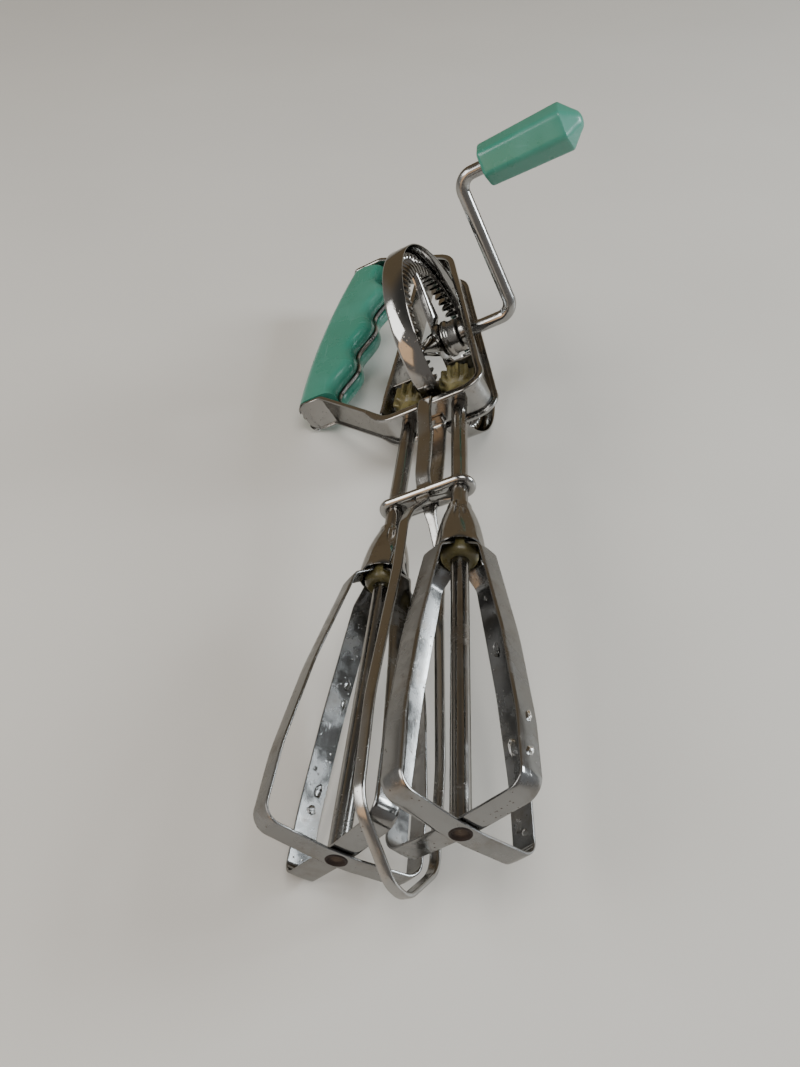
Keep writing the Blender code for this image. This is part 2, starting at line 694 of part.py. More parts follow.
def build_knob(parent):
    bore = CRANK_ROD_RADIUS + BORE_CLEARANCE
    count = 24

    def hexagon(radius, along):
        ring = []
        flat = radius * math.cos(math.pi / 6.0)
        for k in range(count):
            angle = 2.0 * math.pi * k / count
            offset = (angle + 1e-9) % (math.pi / 3.0) - math.pi / 6.0
            reach = min(flat / math.cos(offset), 0.97 * radius)
            ring.append((along, reach * math.cos(angle), reach * math.sin(angle)))
        return ring

    def disc(radius, along):
        return [(along, c, s) for c, s in circle_points(radius, count)]

    shoulder = KNOB_SHOULDER - KNOB_START
    tip = KNOB_TIP - KNOB_START
    rings = [disc(bore, STUB_END - KNOB_START + SEAT_GAP), disc(bore, 0.0),
             hexagon(KNOB_BASE_RADIUS - 1.2, 0.0), hexagon(KNOB_BASE_RADIUS - 0.2, 0.5),
             hexagon(KNOB_BASE_RADIUS, 1.4), hexagon(KNOB_END_RADIUS, shoulder - 0.4),
             hexagon(KNOB_END_RADIUS - 0.4, shoulder + 0.4), hexagon(1.8, tip - 0.6),
             hexagon(0.8, tip)]
    piece("knob", *loft(rings), turquoise("knob_plastic"), parent, False)


def gear_ring(tip, root, along, turn):
    """Ring of a pinion: four points to each tooth, about the shaft axis."""
    ring = []
    pitch = 2.0 * math.pi / PINION_TEETH
    tip_half = 0.42 / PINION_TIP
    root_half = 0.9 / PINION_ROOT
    for tooth in range(PINION_TEETH):
        middle = turn + tooth * pitch
        for radius, offset in ((root, -root_half), (tip, -tip_half),
                               (tip, tip_half), (root, root_half)):
            ring.append((radius * math.cos(middle + offset), along,
                         radius * math.sin(middle + offset)))
    return ring


def round_ring(radius, along, turn):
    return [(radius * x / math.hypot(x, z), along, radius * z / math.hypot(x, z))
            for x, _, z in gear_ring(PINION_TIP, PINION_ROOT, 0.0, turn)]


def build_pinion(name, parent, turn):
    bore = SHAFT_RADIUS + BORE_CLEARANCE
    low = STRIP_HALF_SHEET + SEAT_GAP + 0.15
    rings = [round_ring(bore, low, turn), round_ring(PINION_COLLAR, low, turn),
             round_ring(PINION_COLLAR, PINION_TOOTH_LOW - 1.4, turn),
             gear_ring(PINION_ROOT - 0.5, PINION_ROOT - 0.6, PINION_TOOTH_LOW - 0.7, turn),
             gear_ring(PINION_TIP, PINION_ROOT, PINION_TOOTH_LOW, turn),
             gear_ring(PINION_TIP, PINION_ROOT, PINION_TOOTH_HIGH, turn),
             gear_ring(PINION_ROOT - 0.5, PINION_ROOT - 0.6, PINION_TOOTH_HIGH + 0.8, turn),
             round_ring(PINION_COLLAR, PINION_TOOTH_HIGH + 1.2, turn),
             round_ring(PINION_COLLAR - 0.3, PINION_TOP, turn), round_ring(bore, PINION_TOP, turn)]
    piece(name, *loft(rings, True), nylon(name + "_nylon"), parent, False)


def blade_section(spot):
    """Flat strip whose top ends wrap round the bushing inside the bell."""
    wrap = clamp((BLADE_FLARE + 5.1 + spot.y) / 5.0)
    outer = []
    for k in range(5):
        side = BLADE_HALF_WIDTH * (k - 2) / 2.0
        drop = wrap * (BLADE_TOP_RADIUS - math.sqrt(BLADE_TOP_RADIUS ** 2 - side ** 2))
        outer.append((-drop, side))
    return ([(BLADE_HALF_SHEET + away, side) for away, side in outer]
            + [(-BLADE_HALF_SHEET + away, side) for away, side in reversed(outer)])


def build_blade(name, parent, turn, centre, corner):
    radius = BLADE_RADIUS
    span = BLADE_END - BLADE_FLARE
    half = [(BLADE_TOP_RADIUS, -BLADE_TOP, 0.0), (BLADE_TOP_RADIUS, -BLADE_FLARE, 1.4),
            (BLADE_TOP_RADIUS + 4.45, -BLADE_FLARE - 4.7, 5.0),
            (0.805 * radius, -BLADE_FLARE - 0.45 * span, 60.0),
            (0.97 * radius, -BLADE_FLARE - 0.765 * span, 60.0),
            (radius, corner, 4.6), (4.6, centre, 12.0)]
    corners = [(-x, y, r) for x, y, r in half] + [(x, y, r) for x, y, r in reversed(half)]
    path = rounded_path(corners)
    spin = Matrix.Rotation(math.radians(-turn), 4, 'Y')
    piece(name, *sweep(path, blade_section, 'XY', spin), chrome(name + "_chrome"), parent)


def build_beater(label, parent, blade_turn, pinion_turn):
    """One beater; distances run along the shaft, negative toward the blades."""
    shaft = [(JOURNAL_RADIUS, SHAFT_TOP), (JOURNAL_RADIUS, SHAFT_TOP - 4.0),
             (SHAFT_RADIUS, SHAFT_TOP - 4.4), (SHAFT_RADIUS, BLADE_HALF_SHEET + SEAT_GAP - BLADE_END)]
    piece(label + "_shaft", *spun(shaft, 24, 'Y', False), chrome(label + "_shaft_chrome"), parent)
    build_pinion(label + "_pinion", parent, pinion_turn)
    bore = SHAFT_RADIUS + BORE_CLEARANCE
    outer = [(3.7, BELL_TOP), (3.9, BELL_TOP + 1.5), (5.2, BELL_TOP + 5.6), (6.6, BELL_TOP + 11.0),
             (7.3, BELL_TOP + 16.0), (BELL_RADIUS, BELL_BOTTOM)]
    bell = [(bore, BELL_TOP)] + outer
    bell += [(BELL_RADIUS - 0.55, BELL_BOTTOM), (BELL_RADIUS - 0.55, BELL_TOP + 14.0),
             (5.8, BELL_TOP + 10.6), (4.3, BELL_TOP + 6.2), (bore, BELL_TOP + 4.6)]
    piece(label + "_bell", *spun([(r, -d) for r, d in bell], 28, 'Y', True),
          chrome(label + "_bell_chrome"), parent)
    bush = [(bore, BUSHING_TOP), (BUSHING_RADIUS - 0.3, BUSHING_TOP),
            (BUSHING_RADIUS - 0.1, BELL_BOTTOM), (BUSHING_RADIUS - 0.5, BUSHING_BOTTOM - 1.0),
            (4.0, BUSHING_BOTTOM), (bore, BUSHING_BOTTOM)]
    piece(label + "_bushing", *spun([(r, -d) for r, d in bush], 24, 'Y', True),
          nylon(label + "_bushing_nylon"), parent)
    step = 2.0 * BLADE_HALF_SHEET + SEAT_GAP + 0.05
    build_blade(label + "_blade_inner", parent, blade_turn, -BLADE_END, 1.0 - BLADE_END)
    build_blade(label + "_blade_outer", parent, blade_turn + 90.0, -BLADE_END - step,
                0.3 - BLADE_END)
    head = BLADE_END + step + BLADE_HALF_SHEET + SEAT_GAP
    rivet = [(2.3, head), (2.2, head + 0.5), (1.6, head + 0.95), (0.6, head + 1.15)]
    piece(label + "_rivet", *spun([(r, -d) for r, d in rivet], 20, 'Y', False),
          chrome(label + "_rivet_steel"), parent)


def working_points(names, assembly):
    """Corner points of the named pieces in the upright working frame."""
    back = assembly.matrix_world.inverted()
    points = []
    for name in names:
        obj = bpy.data.objects[name]
        matrix = back @ obj.matrix_world
        points += [matrix @ v.co for v in obj.data.vertices]
    return points


def lay_down(assembly):
    """Turn the beater onto handle, wheel rim and left beater, then centre it on the ground."""
    bpy.context.view_layer.update()
    handle = working_points(("handle_back", "frame_strip"), assembly)
    wheel = working_points(("drive_wheel",), assembly)
    blades = working_points(("left_blade_inner", "left_blade_outer"), assembly)
    up = Vector((0.49, 0.027, 0.87)).normalized()
    for _ in range(10):
        tips = [min(points, key=lambda p: p.dot(up)) for points in (handle, wheel, blades)]
        normal = (tips[1] - tips[0]).cross(tips[2] - tips[0]).normalized()
        up = normal if normal.dot(up) > 0.0 else -normal
    handle_way = Vector((0.0, 1.0, 0.0))
    handle_way = (handle_way - up * handle_way.dot(up)).normalized()
    right = handle_way.cross(up)
    turn = Matrix((right, handle_way, up)).to_4x4()
    assembly.matrix_world = turn
    bpy.context.view_layer.update()
    solids = [o for o in bpy.data.objects if o.type == 'MESH' and not o.hide_render]
    spots = [o.matrix_world @ v.co for o in solids for v in o.data.vertices]
    low = Vector([min(p[i] for p in spots) for i in range(3)])
    high = Vector([max(p[i] for p in spots) for i in range(3)])
    shift = Vector((-(low.x + high.x) / 2.0, -(low.y + high.y) / 2.0, -low.z))
    assembly.matrix_world = Matrix.Translation(shift) @ turn


def build():
    clear_scene()
    assembly = group("assembly", None)
    build_frame_strip(assembly)
    build_left_wall(assembly)
    build_handle(assembly)
    build_collar_plate(assembly)
    build_guard_loop(assembly)
    build_bearing(assembly)
    axle = group("crank_axis", assembly, (0.0, WHEEL_HEIGHT, 0.0))
    build_wheel(axle)
    build_crank(axle)
    right = group("right_axis", assembly, (SHAFT_OFFSET, 0.0, 0.0), SHAFT_SPLAY)
    left = group("left_axis", assembly, (-SHAFT_OFFSET, 0.0, 0.0), -SHAFT_SPLAY)
    build_beater("right", right, RIGHT_BLADE_TURN, math.pi)
    build_beater("left", left, LEFT_BLADE_TURN, math.pi / PINION_TEETH)
    lay_down(assembly)


build()
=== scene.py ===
"""Rotary egg beater lying on a table: finished pieces and finishes around the fixed frame.

Pieces are shaped in millimetres in the beater's own upright directions and then laid in place:
  X toward the crank, Y toward the handle, Z toward the front of the beater.
"""
import json
import math

import bmesh
import bpy
from mathutils import Matrix, Vector, noise


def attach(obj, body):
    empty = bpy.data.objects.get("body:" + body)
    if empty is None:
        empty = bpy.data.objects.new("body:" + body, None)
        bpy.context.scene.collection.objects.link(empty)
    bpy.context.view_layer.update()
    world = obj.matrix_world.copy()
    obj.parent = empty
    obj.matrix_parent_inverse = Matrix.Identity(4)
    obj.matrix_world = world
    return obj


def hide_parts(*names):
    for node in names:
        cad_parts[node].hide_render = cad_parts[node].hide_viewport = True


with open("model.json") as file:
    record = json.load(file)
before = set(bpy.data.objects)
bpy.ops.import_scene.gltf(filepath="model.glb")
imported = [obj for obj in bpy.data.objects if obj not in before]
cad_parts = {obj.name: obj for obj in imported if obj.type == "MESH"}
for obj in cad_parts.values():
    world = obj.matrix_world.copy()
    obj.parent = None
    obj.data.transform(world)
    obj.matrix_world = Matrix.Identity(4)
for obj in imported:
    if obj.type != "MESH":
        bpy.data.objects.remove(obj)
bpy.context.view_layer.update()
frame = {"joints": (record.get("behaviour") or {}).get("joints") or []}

MM = 0.001
WHEEL_HEIGHT = 42.8
AUTO_SMOOTH = math.radians(32.0)

# ---------------------------------------------------------------- directions and places


def joint(name):
    for entry in frame["joints"]:
        if entry["name"] == name:
            return entry
    raise ValueError(name)


def frame_matrix(origin, x_axis, y_axis, z_axis):
    turn = Matrix((x_axis, y_axis, z_axis)).transposed().to_4x4()
    return Matrix.Translation(origin) @ turn @ Matrix.Scale(MM, 4)


crank_joint = joint("crank_spin")
right_joint = joint("right_beater_spin")
left_joint = joint("left_beater_spin")
knob_joint = joint("knob_spin")
across = Vector(crank_joint["axis"]).normalized()
handle_way = (Vector(right_joint["axis"]) + Vector(left_joint["axis"])).normalized()
front_way = across.cross(handle_way).normalized()
origin = Vector(crank_joint["pos_m"]) - handle_way * WHEEL_HEIGHT * MM
UPRIGHT = frame_matrix(origin, across, handle_way, front_way)
AXLE = frame_matrix(Vector(crank_joint["pos_m"]), across, handle_way, front_way)
KNOB_PLACE = frame_matrix(Vector(knob_joint["pos_m"]), across, handle_way, front_way)


def shaft_place(entry):
    up = Vector(entry["axis"]).normalized()
    side = up.cross(front_way).normalized()
    return frame_matrix(Vector(entry["pos_m"]), side, up, front_way)


SHAFT_PLACES = {"right": shaft_place(right_joint), "left": shaft_place(left_joint)}

# ---------------------------------------------------------------- mesh tools


def start_ring(bm, points, closed=True):
    verts = [bm.verts.new(p) for p in points]
    for i in range(len(verts) - (0 if closed else 1)):
        bm.edges.new((verts[i], verts[(i + 1) % len(verts)]))
    return verts


def ring_edges(bm, verts):
    count = len(verts)
    return [bm.edges.get((verts[i], verts[(i + 1) % count])) for i in range(count)]


def next_ring(bm, verts, points):
    """The outline carried on to its next place, with its vertices in the same order."""
    made = bmesh.ops.extrude_edge_only(bm, edges=ring_edges(bm, verts))
    fresh = {v for v in made["geom"] if isinstance(v, bmesh.types.BMVert)}
    ring = []
    for vert, point in zip(verts, points):
        twin = next(e.other_vert(vert) for e in vert.link_edges if e.other_vert(vert) in fresh)
        twin.co = point
        ring.append(twin)
    return ring


def cap_ring(bm, verts):
    bmesh.ops.contextual_create(bm, geom=ring_edges(bm, verts))


def carried(rings, ends="capped"):
    """A shape made by carrying one closed outline from ring to ring.

    Its two ends are capped, bridged to each other, or left open.
    """
    bm = bmesh.new()
    first = start_ring(bm, rings[0])
    ring = first
    for points in rings[1:]:
        ring = next_ring(bm, ring, points)
    if ends == "capped":
        cap_ring(bm, first)
        cap_ring(bm, ring)
    elif ends == "bridged":
        bmesh.ops.bridge_loops(bm, edges=ring_edges(bm, ring) + ring_edges(bm, first))
    return bm


def turned(profile, steps, axis, closed):
    """A turned piece from (radius, along) pairs; an open profile starts and ends on the axis."""
    bm = bmesh.new()
    if axis == "X":
        points = [Vector((along, radius, 0.0)) for radius, along in profile]
        line = Vector((1.0, 0.0, 0.0))
    else:
        points = [Vector((radius, along, 0.0)) for radius, along in profile]
        line = Vector((0.0, 1.0, 0.0))
    verts = start_ring(bm, points, closed)
    bmesh.ops.spin(bm, geom=verts + bm.edges[:], cent=(0.0, 0.0, 0.0), axis=line,
                   angle=2.0 * math.pi, steps=steps, use_merge=True, use_duplicate=False)
    bmesh.ops.remove_doubles(bm, verts=bm.verts[:], dist=1e-5)
    return bm


def joined(parts):
    """Several shapes in one mesh, still as separate shells."""
    whole = bmesh.new()
    for bm in parts:
        mesh = bpy.data.meshes.new("shell")
        bm.to_mesh(mesh)
        bm.free()
        whole.from_mesh(mesh)
        bpy.data.meshes.remove(mesh)
    return whole


def linked_object(name, bm):
    mesh = bpy.data.meshes.new(name)
    bm.to_mesh(mesh)
    bm.free()
    obj = bpy.data.objects.new(name, mesh)
    bpy.context.scene.collection.objects.link(obj)
    return obj


def placed_object(name, bm, place):
    """The shape laid in place, with its faces pointing outward."""
    bmesh.ops.transform(bm, matrix=place, verts=bm.verts[:])
    bmesh.ops.recalc_face_normals(bm, faces=bm.faces[:])
    return linked_object(name, bm)


def finish_piece(name, bm, place, body, node, look, smooth_angle=AUTO_SMOOTH):
    """Lay the shape in place, shade it and hand it to its body; it may stand for a node."""
    for face in bm.faces:
        face.smooth = True
    obj = placed_object(name, bm, place)
    obj.data.set_sharp_from_angle(angle=smooth_angle)
    obj.data.materials.append(look)
    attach(obj, body)
    if node:
        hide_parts(node)
    return obj


def cut(obj, cutters):
    """Take the cutters out of a finished piece and drop them."""
    for tool in cutters:
        step = obj.modifiers.new("cut", "BOOLEAN")
        step.operation = "DIFFERENCE"
        step.solver = "EXACT"
        step.object = tool
    graph = bpy.context.evaluated_depsgraph_get()
    mesh = bpy.data.meshes.new_from_object(obj.evaluated_get(graph))
    obj.modifiers.clear()
    old = obj.data
    obj.data = mesh
    bpy.data.meshes.remove(old)
    for tool in cutters:
        bpy.data.objects.remove(tool, do_unlink=True)


def cutter(bm, place):
    tool = placed_object("cutter", bm, place)
    tool.hide_render = True
    return tool


def block(low, high, bevel=0.0):
    bm = bmesh.new()
    bmesh.ops.create_cube(bm, size=1.0)
    size = Vector(high) - Vector(low)
    middle = (Vector(high) + Vector(low)) / 2.0
    bmesh.ops.scale(bm, vec=size, verts=bm.verts[:])
    bmesh.ops.translate(bm, vec=middle, verts=bm.verts[:])
    if bevel > 0.0:
        bmesh.ops.bevel(bm, geom=bm.edges[:], offset=bevel, offset_type="OFFSET", segments=3,
                        profile=0.5, affect="EDGES", material=-1, clamp_overlap=True)
    return bm


def rounded_path(corners, step_angle=4.0):
    """Points along a line whose corners (x, y, ..., radius) are rounded off."""
    spots = [Vector(corner[:-1]) for corner in corners]
    path = [spots[0]]
    for i in range(1, len(spots) - 1):
        radius = corners[i][-1]
        back = (spots[i - 1] - spots[i]).normalized()
        ahead = (spots[i + 1] - spots[i]).normalized()
        bend = math.pi - back.angle(ahead)
        if radius <= 0.0 or bend < 1e-3:
            path.append(spots[i])
            continue
        reach = radius * math.tan(bend / 2.0)
        middle = (back + ahead).normalized()
        centre = spots[i] + middle * (radius / math.cos(bend / 2.0))
        first = spots[i] + back * reach - centre
        last = spots[i] + ahead * reach - centre
        steps = max(1, math.ceil(math.degrees(bend) / step_angle))
        for k in range(steps + 1):
            share = k / steps
            mix = (first * math.sin((1.0 - share) * bend) + last * math.sin(share * bend)) / math.sin(bend)
            path.append(centre + mix)
    path.append(spots[-1])
    return path


def refined(path, longest):
    """The path with its long stretches divided."""
    fine = [path[0]]
    for spot in path[1:]:
        gap = (spot - fine[-1]).length
        if gap < 1e-6:
            continue
        pieces = max(1, math.ceil(gap / longest))
        start = fine[-1].copy()
        for k in range(1, pieces + 1):
            fine.append(start.lerp(spot, k / pieces))
    return fine


def swept_rings(path, section, plane):
    """Rings of a section (outward, sideways) along a flat path in the named plane."""
    rings = []
    for i, spot in enumerate(path):
        before = path[max(i - 1, 0)]
        after = path[min(i + 1, len(path) - 1)]
        along_in = (spot - before).normalized() if i > 0 else (after - spot).normalized()
        along_out = (after - spot).normalized() if i < len(path) - 1 else along_in
        along = (along_in + along_out).normalized()
        stretch = 1.0 / max(along.dot(along_in), 0.5)
        outward = Vector((along.y, -along.x))
        ring = []
        for away, side in section(spot):
            flat = spot + outward * away * stretch
            if plane == "XY":
                ring.append(Vector((flat.x, flat.y, side)))
            else:
                ring.append(Vector((side, flat.x, flat.y)))
        rings.append(ring)
    return rings


def rounded_outline(corners, steps=3):
    """A closed outline of (a, b, radius) corners with each corner rounded."""
    outline = []
    count = len(corners)
    for i in range(count):
        spot = Vector(corners[i][:2])
        radius = corners[i][2]
        before = Vector(corners[i - 1][:2])
        after = Vector(corners[(i + 1) % count][:2])
        back = before - spot
        ahead = after - spot
        bend = math.pi - back.angle(ahead)
        if radius <= 0.0 or bend < 0.05:
            outline.append(spot)
            continue
        reach = min(radius * math.tan(bend / 2.0), 0.45 * back.length, 0.45 * ahead.length)
        start = spot + back.normalized() * reach
        end = spot + ahead.normalized() * reach
        for k in range(steps + 1):
            share = k / steps
            low = start.lerp(spot, share)
            high = spot.lerp(end, share)
            outline.append(low.lerp(high, share))
    return outline


def clamp(value):
    return min(max(value, 0.0), 1.0)


def ease(value):
    value = clamp(value)
    return value * value * (3.0 - 2.0 * value)


def circle(radius, count):
    step = 2.0 * math.pi / count
    return [(radius * math.cos(k * step), radius * math.sin(k * step)) for k in range(count)]


# ---------------------------------------------------------------- finishes


class Tree:
    """Short hand for adding nodes to a node tree and joining their sockets."""

    def __init__(self, tree):
        self.tree = tree

    def feed(self, value, socket):
        """Link another socket in, or set a plain value."""
        if isinstance(value, bpy.types.NodeSocket):
            self.tree.links.new(value, socket)
        else:
            socket.default_value = value

    def add(self, kind, **settings):
        node = self.tree.nodes.new(kind)
        inputs = settings.pop("inputs", {})
        for key, value in settings.items():
            setattr(node, key, value)
        for key, value in inputs.items():
            self.feed(value, node.inputs[key])
        return node

    def math(self, operation, first, second=0.0, clamped=False):
        node = self.tree.nodes.new("ShaderNodeMath")
        node.operation = operation
        node.use_clamp = clamped
        self.feed(first, node.inputs[0])
        self.feed(second, node.inputs[1])
        return node.outputs[0]

    def plus(self, base, value, amount, clamped=False):
        """The base with a share of a value added."""
        return self.math("ADD", base, self.math("MULTIPLY", value, amount), clamped)

    def noise(self, vector, scale, detail=3.0, rough=0.5, stretch=None):
        if stretch is not None:
            vector = self.add("ShaderNodeMapping", inputs={"Vector": vector, "Scale": stretch}).outputs[0]
        return self.add("ShaderNodeTexNoise", inputs={
            "Vector": vector, "Scale": scale, "Detail": detail, "Roughness": rough}).outputs["Fac"]

    def ramp(self, value, low, high):
        node = self.add("ShaderNodeMapRange", inputs={"Value": value, "From Min": low, "From Max": high})
        node.interpolation_type = "SMOOTHSTEP"
        return node.outputs["Result"]

    def mix(self, factor, first, second):
        node = self.tree.nodes.new("ShaderNodeMix")
        node.data_type = "RGBA"
        colours = [s for s in node.inputs if s.type == "RGBA"]
        self.feed(factor, node.inputs[0])
        self.feed(first, colours[0])
        self.feed(second, colours[1])
        return next(s for s in node.outputs if s.type == "RGBA")

    def over(self, base, mask, strength, colour):
        """A colour laid over the base where the mask is, at the given strength."""
        return self.mix(self.math("MULTIPLY", mask, strength), base, colour)


def new_group(name, inputs, outputs):
    group = bpy.data.node_groups.new(name, "ShaderNodeTree")
    for label, kind, value in inputs:
        socket = group.interface.new_socket(name=label, in_out="INPUT", socket_type=kind)
        socket.default_value = value
    for label, kind in outputs:
        group.interface.new_socket(name=label, in_out="OUTPUT", socket_type=kind)
    tree = Tree(group)
    return group, tree, tree.add("NodeGroupInput"), tree.add("NodeGroupOutput")


def handling_wear_group():
    """Smears, fine scratches and pits that years of washing and handling leave."""
    group, tree, given, out = new_group(
        "handling_wear",
        [("Smear Size", "NodeSocketFloat", 60.0), ("Scratch Size", "NodeSocketFloat", 900.0),
         ("Pit Size", "NodeSocketFloat", 700.0), ("Seed", "NodeSocketVector", (0.0, 0.0, 0.0))],
        [("Smear", "NodeSocketFloat"), ("Scratch", "NodeSocketFloat"), ("Pit", "NodeSocketFloat"),
         ("Wave", "NodeSocketFloat")])
    place = tree.add("ShaderNodeTexCoord").outputs["Object"]
    moved = tree.add("ShaderNodeVectorMath", operation="ADD",
                     inputs={0: place, 1: given.outputs["Seed"]}).outputs[0]
    broad = tree.noise(moved, given.outputs["Smear Size"], 4.0, 0.6)
    small = tree.noise(moved, tree.math("MULTIPLY", given.outputs["Smear Size"], 5.3), 2.0, 0.5)
    smear = tree.ramp(tree.plus(broad, small, 0.25), 0.52, 0.78)
    first = tree.noise(moved, given.outputs["Scratch Size"], 2.0, 0.6, (1.0, 0.05, 1.0))
    second = tree.noise(moved, given.outputs["Scratch Size"], 2.0, 0.6, (0.08, 0.6, 1.0))
    scratch = tree.math("MAXIMUM", tree.ramp(first, 0.62, 0.74), tree.ramp(second, 0.66, 0.76))
    cell = tree.add("ShaderNodeTexVoronoi", inputs={"Vector": moved, "Scale": given.outputs["Pit Size"]})
    gate = tree.ramp(tree.noise(moved, 140.0, 1.0), 0.5, 0.62)
    pit = tree.math("MULTIPLY", tree.ramp(cell.outputs["Distance"], 0.22, 0.08), gate)
    wave = tree.noise(moved, 75.0, 1.0, 0.4)
    for label, value in (("Smear", smear), ("Scratch", scratch), ("Pit", pit), ("Wave", wave)):
        tree.feed(value, out.inputs[label])
    return group


def soiling_group():
    """Two-scale stain mask for old food film and brown tarnish."""
    group, tree, given, out = new_group(
        "soiling",
        [("Size", "NodeSocketFloat", 90.0), ("Cover", "NodeSocketFloat", 0.5),
         ("Seed", "NodeSocketVector", (0.0, 0.0, 0.0))],
        [("Mask", "NodeSocketFloat"), ("Grain", "NodeSocketFloat")])
    place = tree.add("ShaderNodeTexCoord").outputs["Object"]
    moved = tree.add("ShaderNodeVectorMath", operation="ADD",
                     inputs={0: place, 1: given.outputs["Seed"]}).outputs[0]
    broad = tree.noise(moved, given.outputs["Size"], 6.0, 0.65)
    edge = tree.math("SUBTRACT", 1.0, given.outputs["Cover"])
    mask = tree.ramp(tree.math("SUBTRACT", broad, tree.math("MULTIPLY", edge, 0.8)), 0.0, 0.22)
    grain = tree.noise(moved, 1800.0, 2.0, 0.6)
    tree.feed(mask, out.inputs["Mask"])
    tree.feed(grain, out.inputs["Grain"])
    return group


HANDLING_WEAR = handling_wear_group()
SOILING = soiling_group()


def seed_of(name):
    total = sum((k + 3) * ord(letter) for k, letter in enumerate(name))
    return (0.013 * (total % 97), 0.017 * (total % 89), 0.011 * (total % 83))


def blank_material(name):
    """A new material, the helper for its nodes, and its shader."""
    made = bpy.data.materials.new(name)
    made.use_nodes = True
    return made, Tree(made.node_tree), made.node_tree.nodes["Principled BSDF"]


def wear_in(tree, name, **values):
    node = tree.add("ShaderNodeGroup", node_tree=HANDLING_WEAR)
    for key, value in values.items():
        node.inputs[key.replace("_", " ")].default_value = value
    node.inputs["Seed"].default_value = seed_of(name)
    return node.outputs


def soil_in(tree, name, size, cover):
    node = tree.add("ShaderNodeGroup", node_tree=SOILING)
    node.inputs["Size"].default_value = size
    node.inputs["Cover"].default_value = cover
    node.inputs["Seed"].default_value = seed_of(name + "soil")
    return node.outputs


def add_bump(tree, shader, height, strength, distance):
    bump = tree.add("ShaderNodeBump", inputs={"Height": height, "Strength": strength, "Distance": distance})
    tree.feed(bump.outputs["Normal"], shader.inputs["Normal"])


def plated_steel(name, polish=0.09, smear=0.16, tarnish=0.3, wave=0.00012, colour=(0.34, 0.335, 0.325)):
    """Bright plating with smears, hair scratches, small pits and a little brown tarnish."""
    made, tree, shader = blank_material(name)
    wear = wear_in(tree, name, Smear_Size=55.0, Scratch_Size=800.0, Pit_Size=650.0)
    soil = soil_in(tree, name, 85.0, tarnish)
    clean = (*colour, 1.0)
    dulled = tuple(0.86 * c for c in colour) + (1.0,)
    brown = (colour[0] * 0.62, colour[1] * 0.52, colour[2] * 0.42, 1.0)
    body = tree.over(clean, wear["Smear"], 0.6, dulled)
    stained = tree.over(body, soil["Mask"], 0.55, brown)
    pitted = tree.over(stained, wear["Pit"], 0.7, (0.10, 0.075, 0.055, 1.0))
    tree.feed(pitted, shader.inputs["Base Color"])
    rough = tree.plus(polish, wear["Smear"], smear)
    rough = tree.plus(rough, wear["Scratch"], 0.10)
    rough = tree.plus(rough, wear["Pit"], 0.35)
    rough = tree.plus(rough, soil["Mask"], 0.12, True)
    tree.feed(rough, shader.inputs["Roughness"])
    shader.inputs["Metallic"].default_value = 1.0
    shader.inputs["Specular Tint"].default_value = (0.72, 0.71, 0.69, 1.0)
    height = tree.plus(wear["Wave"], wear["Pit"], -0.25)
    height = tree.plus(height, wear["Scratch"], -0.03)
    add_bump(tree, shader, height, 1.0, wave)
    return made


def moulded_turquoise(name, grime=0.35, tone=1.0):
    """Glossy turquoise moulding, slightly faded, with scuffs and a dusting of pits."""
    made, tree, shader = blank_material(name)
    wear = wear_in(tree, name, Smear_Size=38.0, Scratch_Size=650.0, Pit_Size=1100.0)
    soil = soil_in(tree, name, 120.0, grime)

    def shade(red, green, blue):
        return (red * tone, green * tone, blue * tone, 1.0)

    base = tree.mix(wear["Wave"], shade(0.045, 0.300, 0.215), shade(0.060, 0.360, 0.262))
    faded = tree.over(base, wear["Smear"], 0.35, shade(0.105, 0.410, 0.315))
    scuffed = tree.over(faded, wear["Scratch"], 0.25, shade(0.20, 0.50, 0.41))
    grimy = tree.over(scuffed, soil["Mask"], 0.30, (0.035, 0.15, 0.105, 1.0))
    pitted = tree.over(grimy, wear["Pit"], 0.5, (0.03, 0.12, 0.085, 1.0))
    tree.feed(pitted, shader.inputs["Base Color"])
    rough = tree.plus(0.24, wear["Smear"], 0.16)
    rough = tree.plus(rough, soil["Mask"], 0.14)
    rough = tree.plus(rough, wear["Scratch"], 0.12, True)
    tree.feed(rough, shader.inputs["Roughness"])
    shader.inputs["Coat Weight"].default_value = 0.25
    shader.inputs["Coat Roughness"].default_value = 0.18
    height = tree.plus(tree.math("MULTIPLY", wear["Wave"], 0.9), soil["Grain"], 0.12)
    height = tree.plus(height, wear["Pit"], -0.4)
    height = tree.plus(height, wear["Scratch"], -0.12)
    add_bump(tree, shader, height, 0.9, 0.00012)
    return made


def olive_nylon(name, stain=0.55):
    """Yellowed olive nylon, waxy, with dark grease caught in it."""
    made, tree, shader = blank_material(name)
    wear = wear_in(tree, name, Smear_Size=160.0, Scratch_Size=900.0, Pit_Size=900.0)
    soil = soil_in(tree, name, 210.0, stain)
    base = tree.mix(wear["Wave"], (0.135, 0.113, 0.038, 1.0), (0.20, 0.175, 0.075, 1.0))
    cloudy = tree.over(base, wear["Smear"], 0.5, (0.245, 0.222, 0.115, 1.0))
    greasy = tree.over(cloudy, soil["Mask"], 0.65, (0.045, 0.037, 0.014, 1.0))
    tree.feed(greasy, shader.inputs["Base Color"])
    rough = tree.plus(0.36, wear["Smear"], 0.2)
    rough = tree.math("SUBTRACT", rough, tree.math("MULTIPLY", soil["Mask"], 0.12), True)
    tree.feed(rough, shader.inputs["Roughness"])
    shader.inputs["Subsurface Weight"].default_value = 0.25
    shader.inputs["Subsurface Radius"].default_value = (0.0012, 0.0009, 0.0004)
    height = tree.plus(wear["Wave"], soil["Grain"], 0.3)
    height = tree.plus(height, wear["Pit"], -0.4)
    add_bump(tree, shader, height, 0.8, 0.00010)
    return made


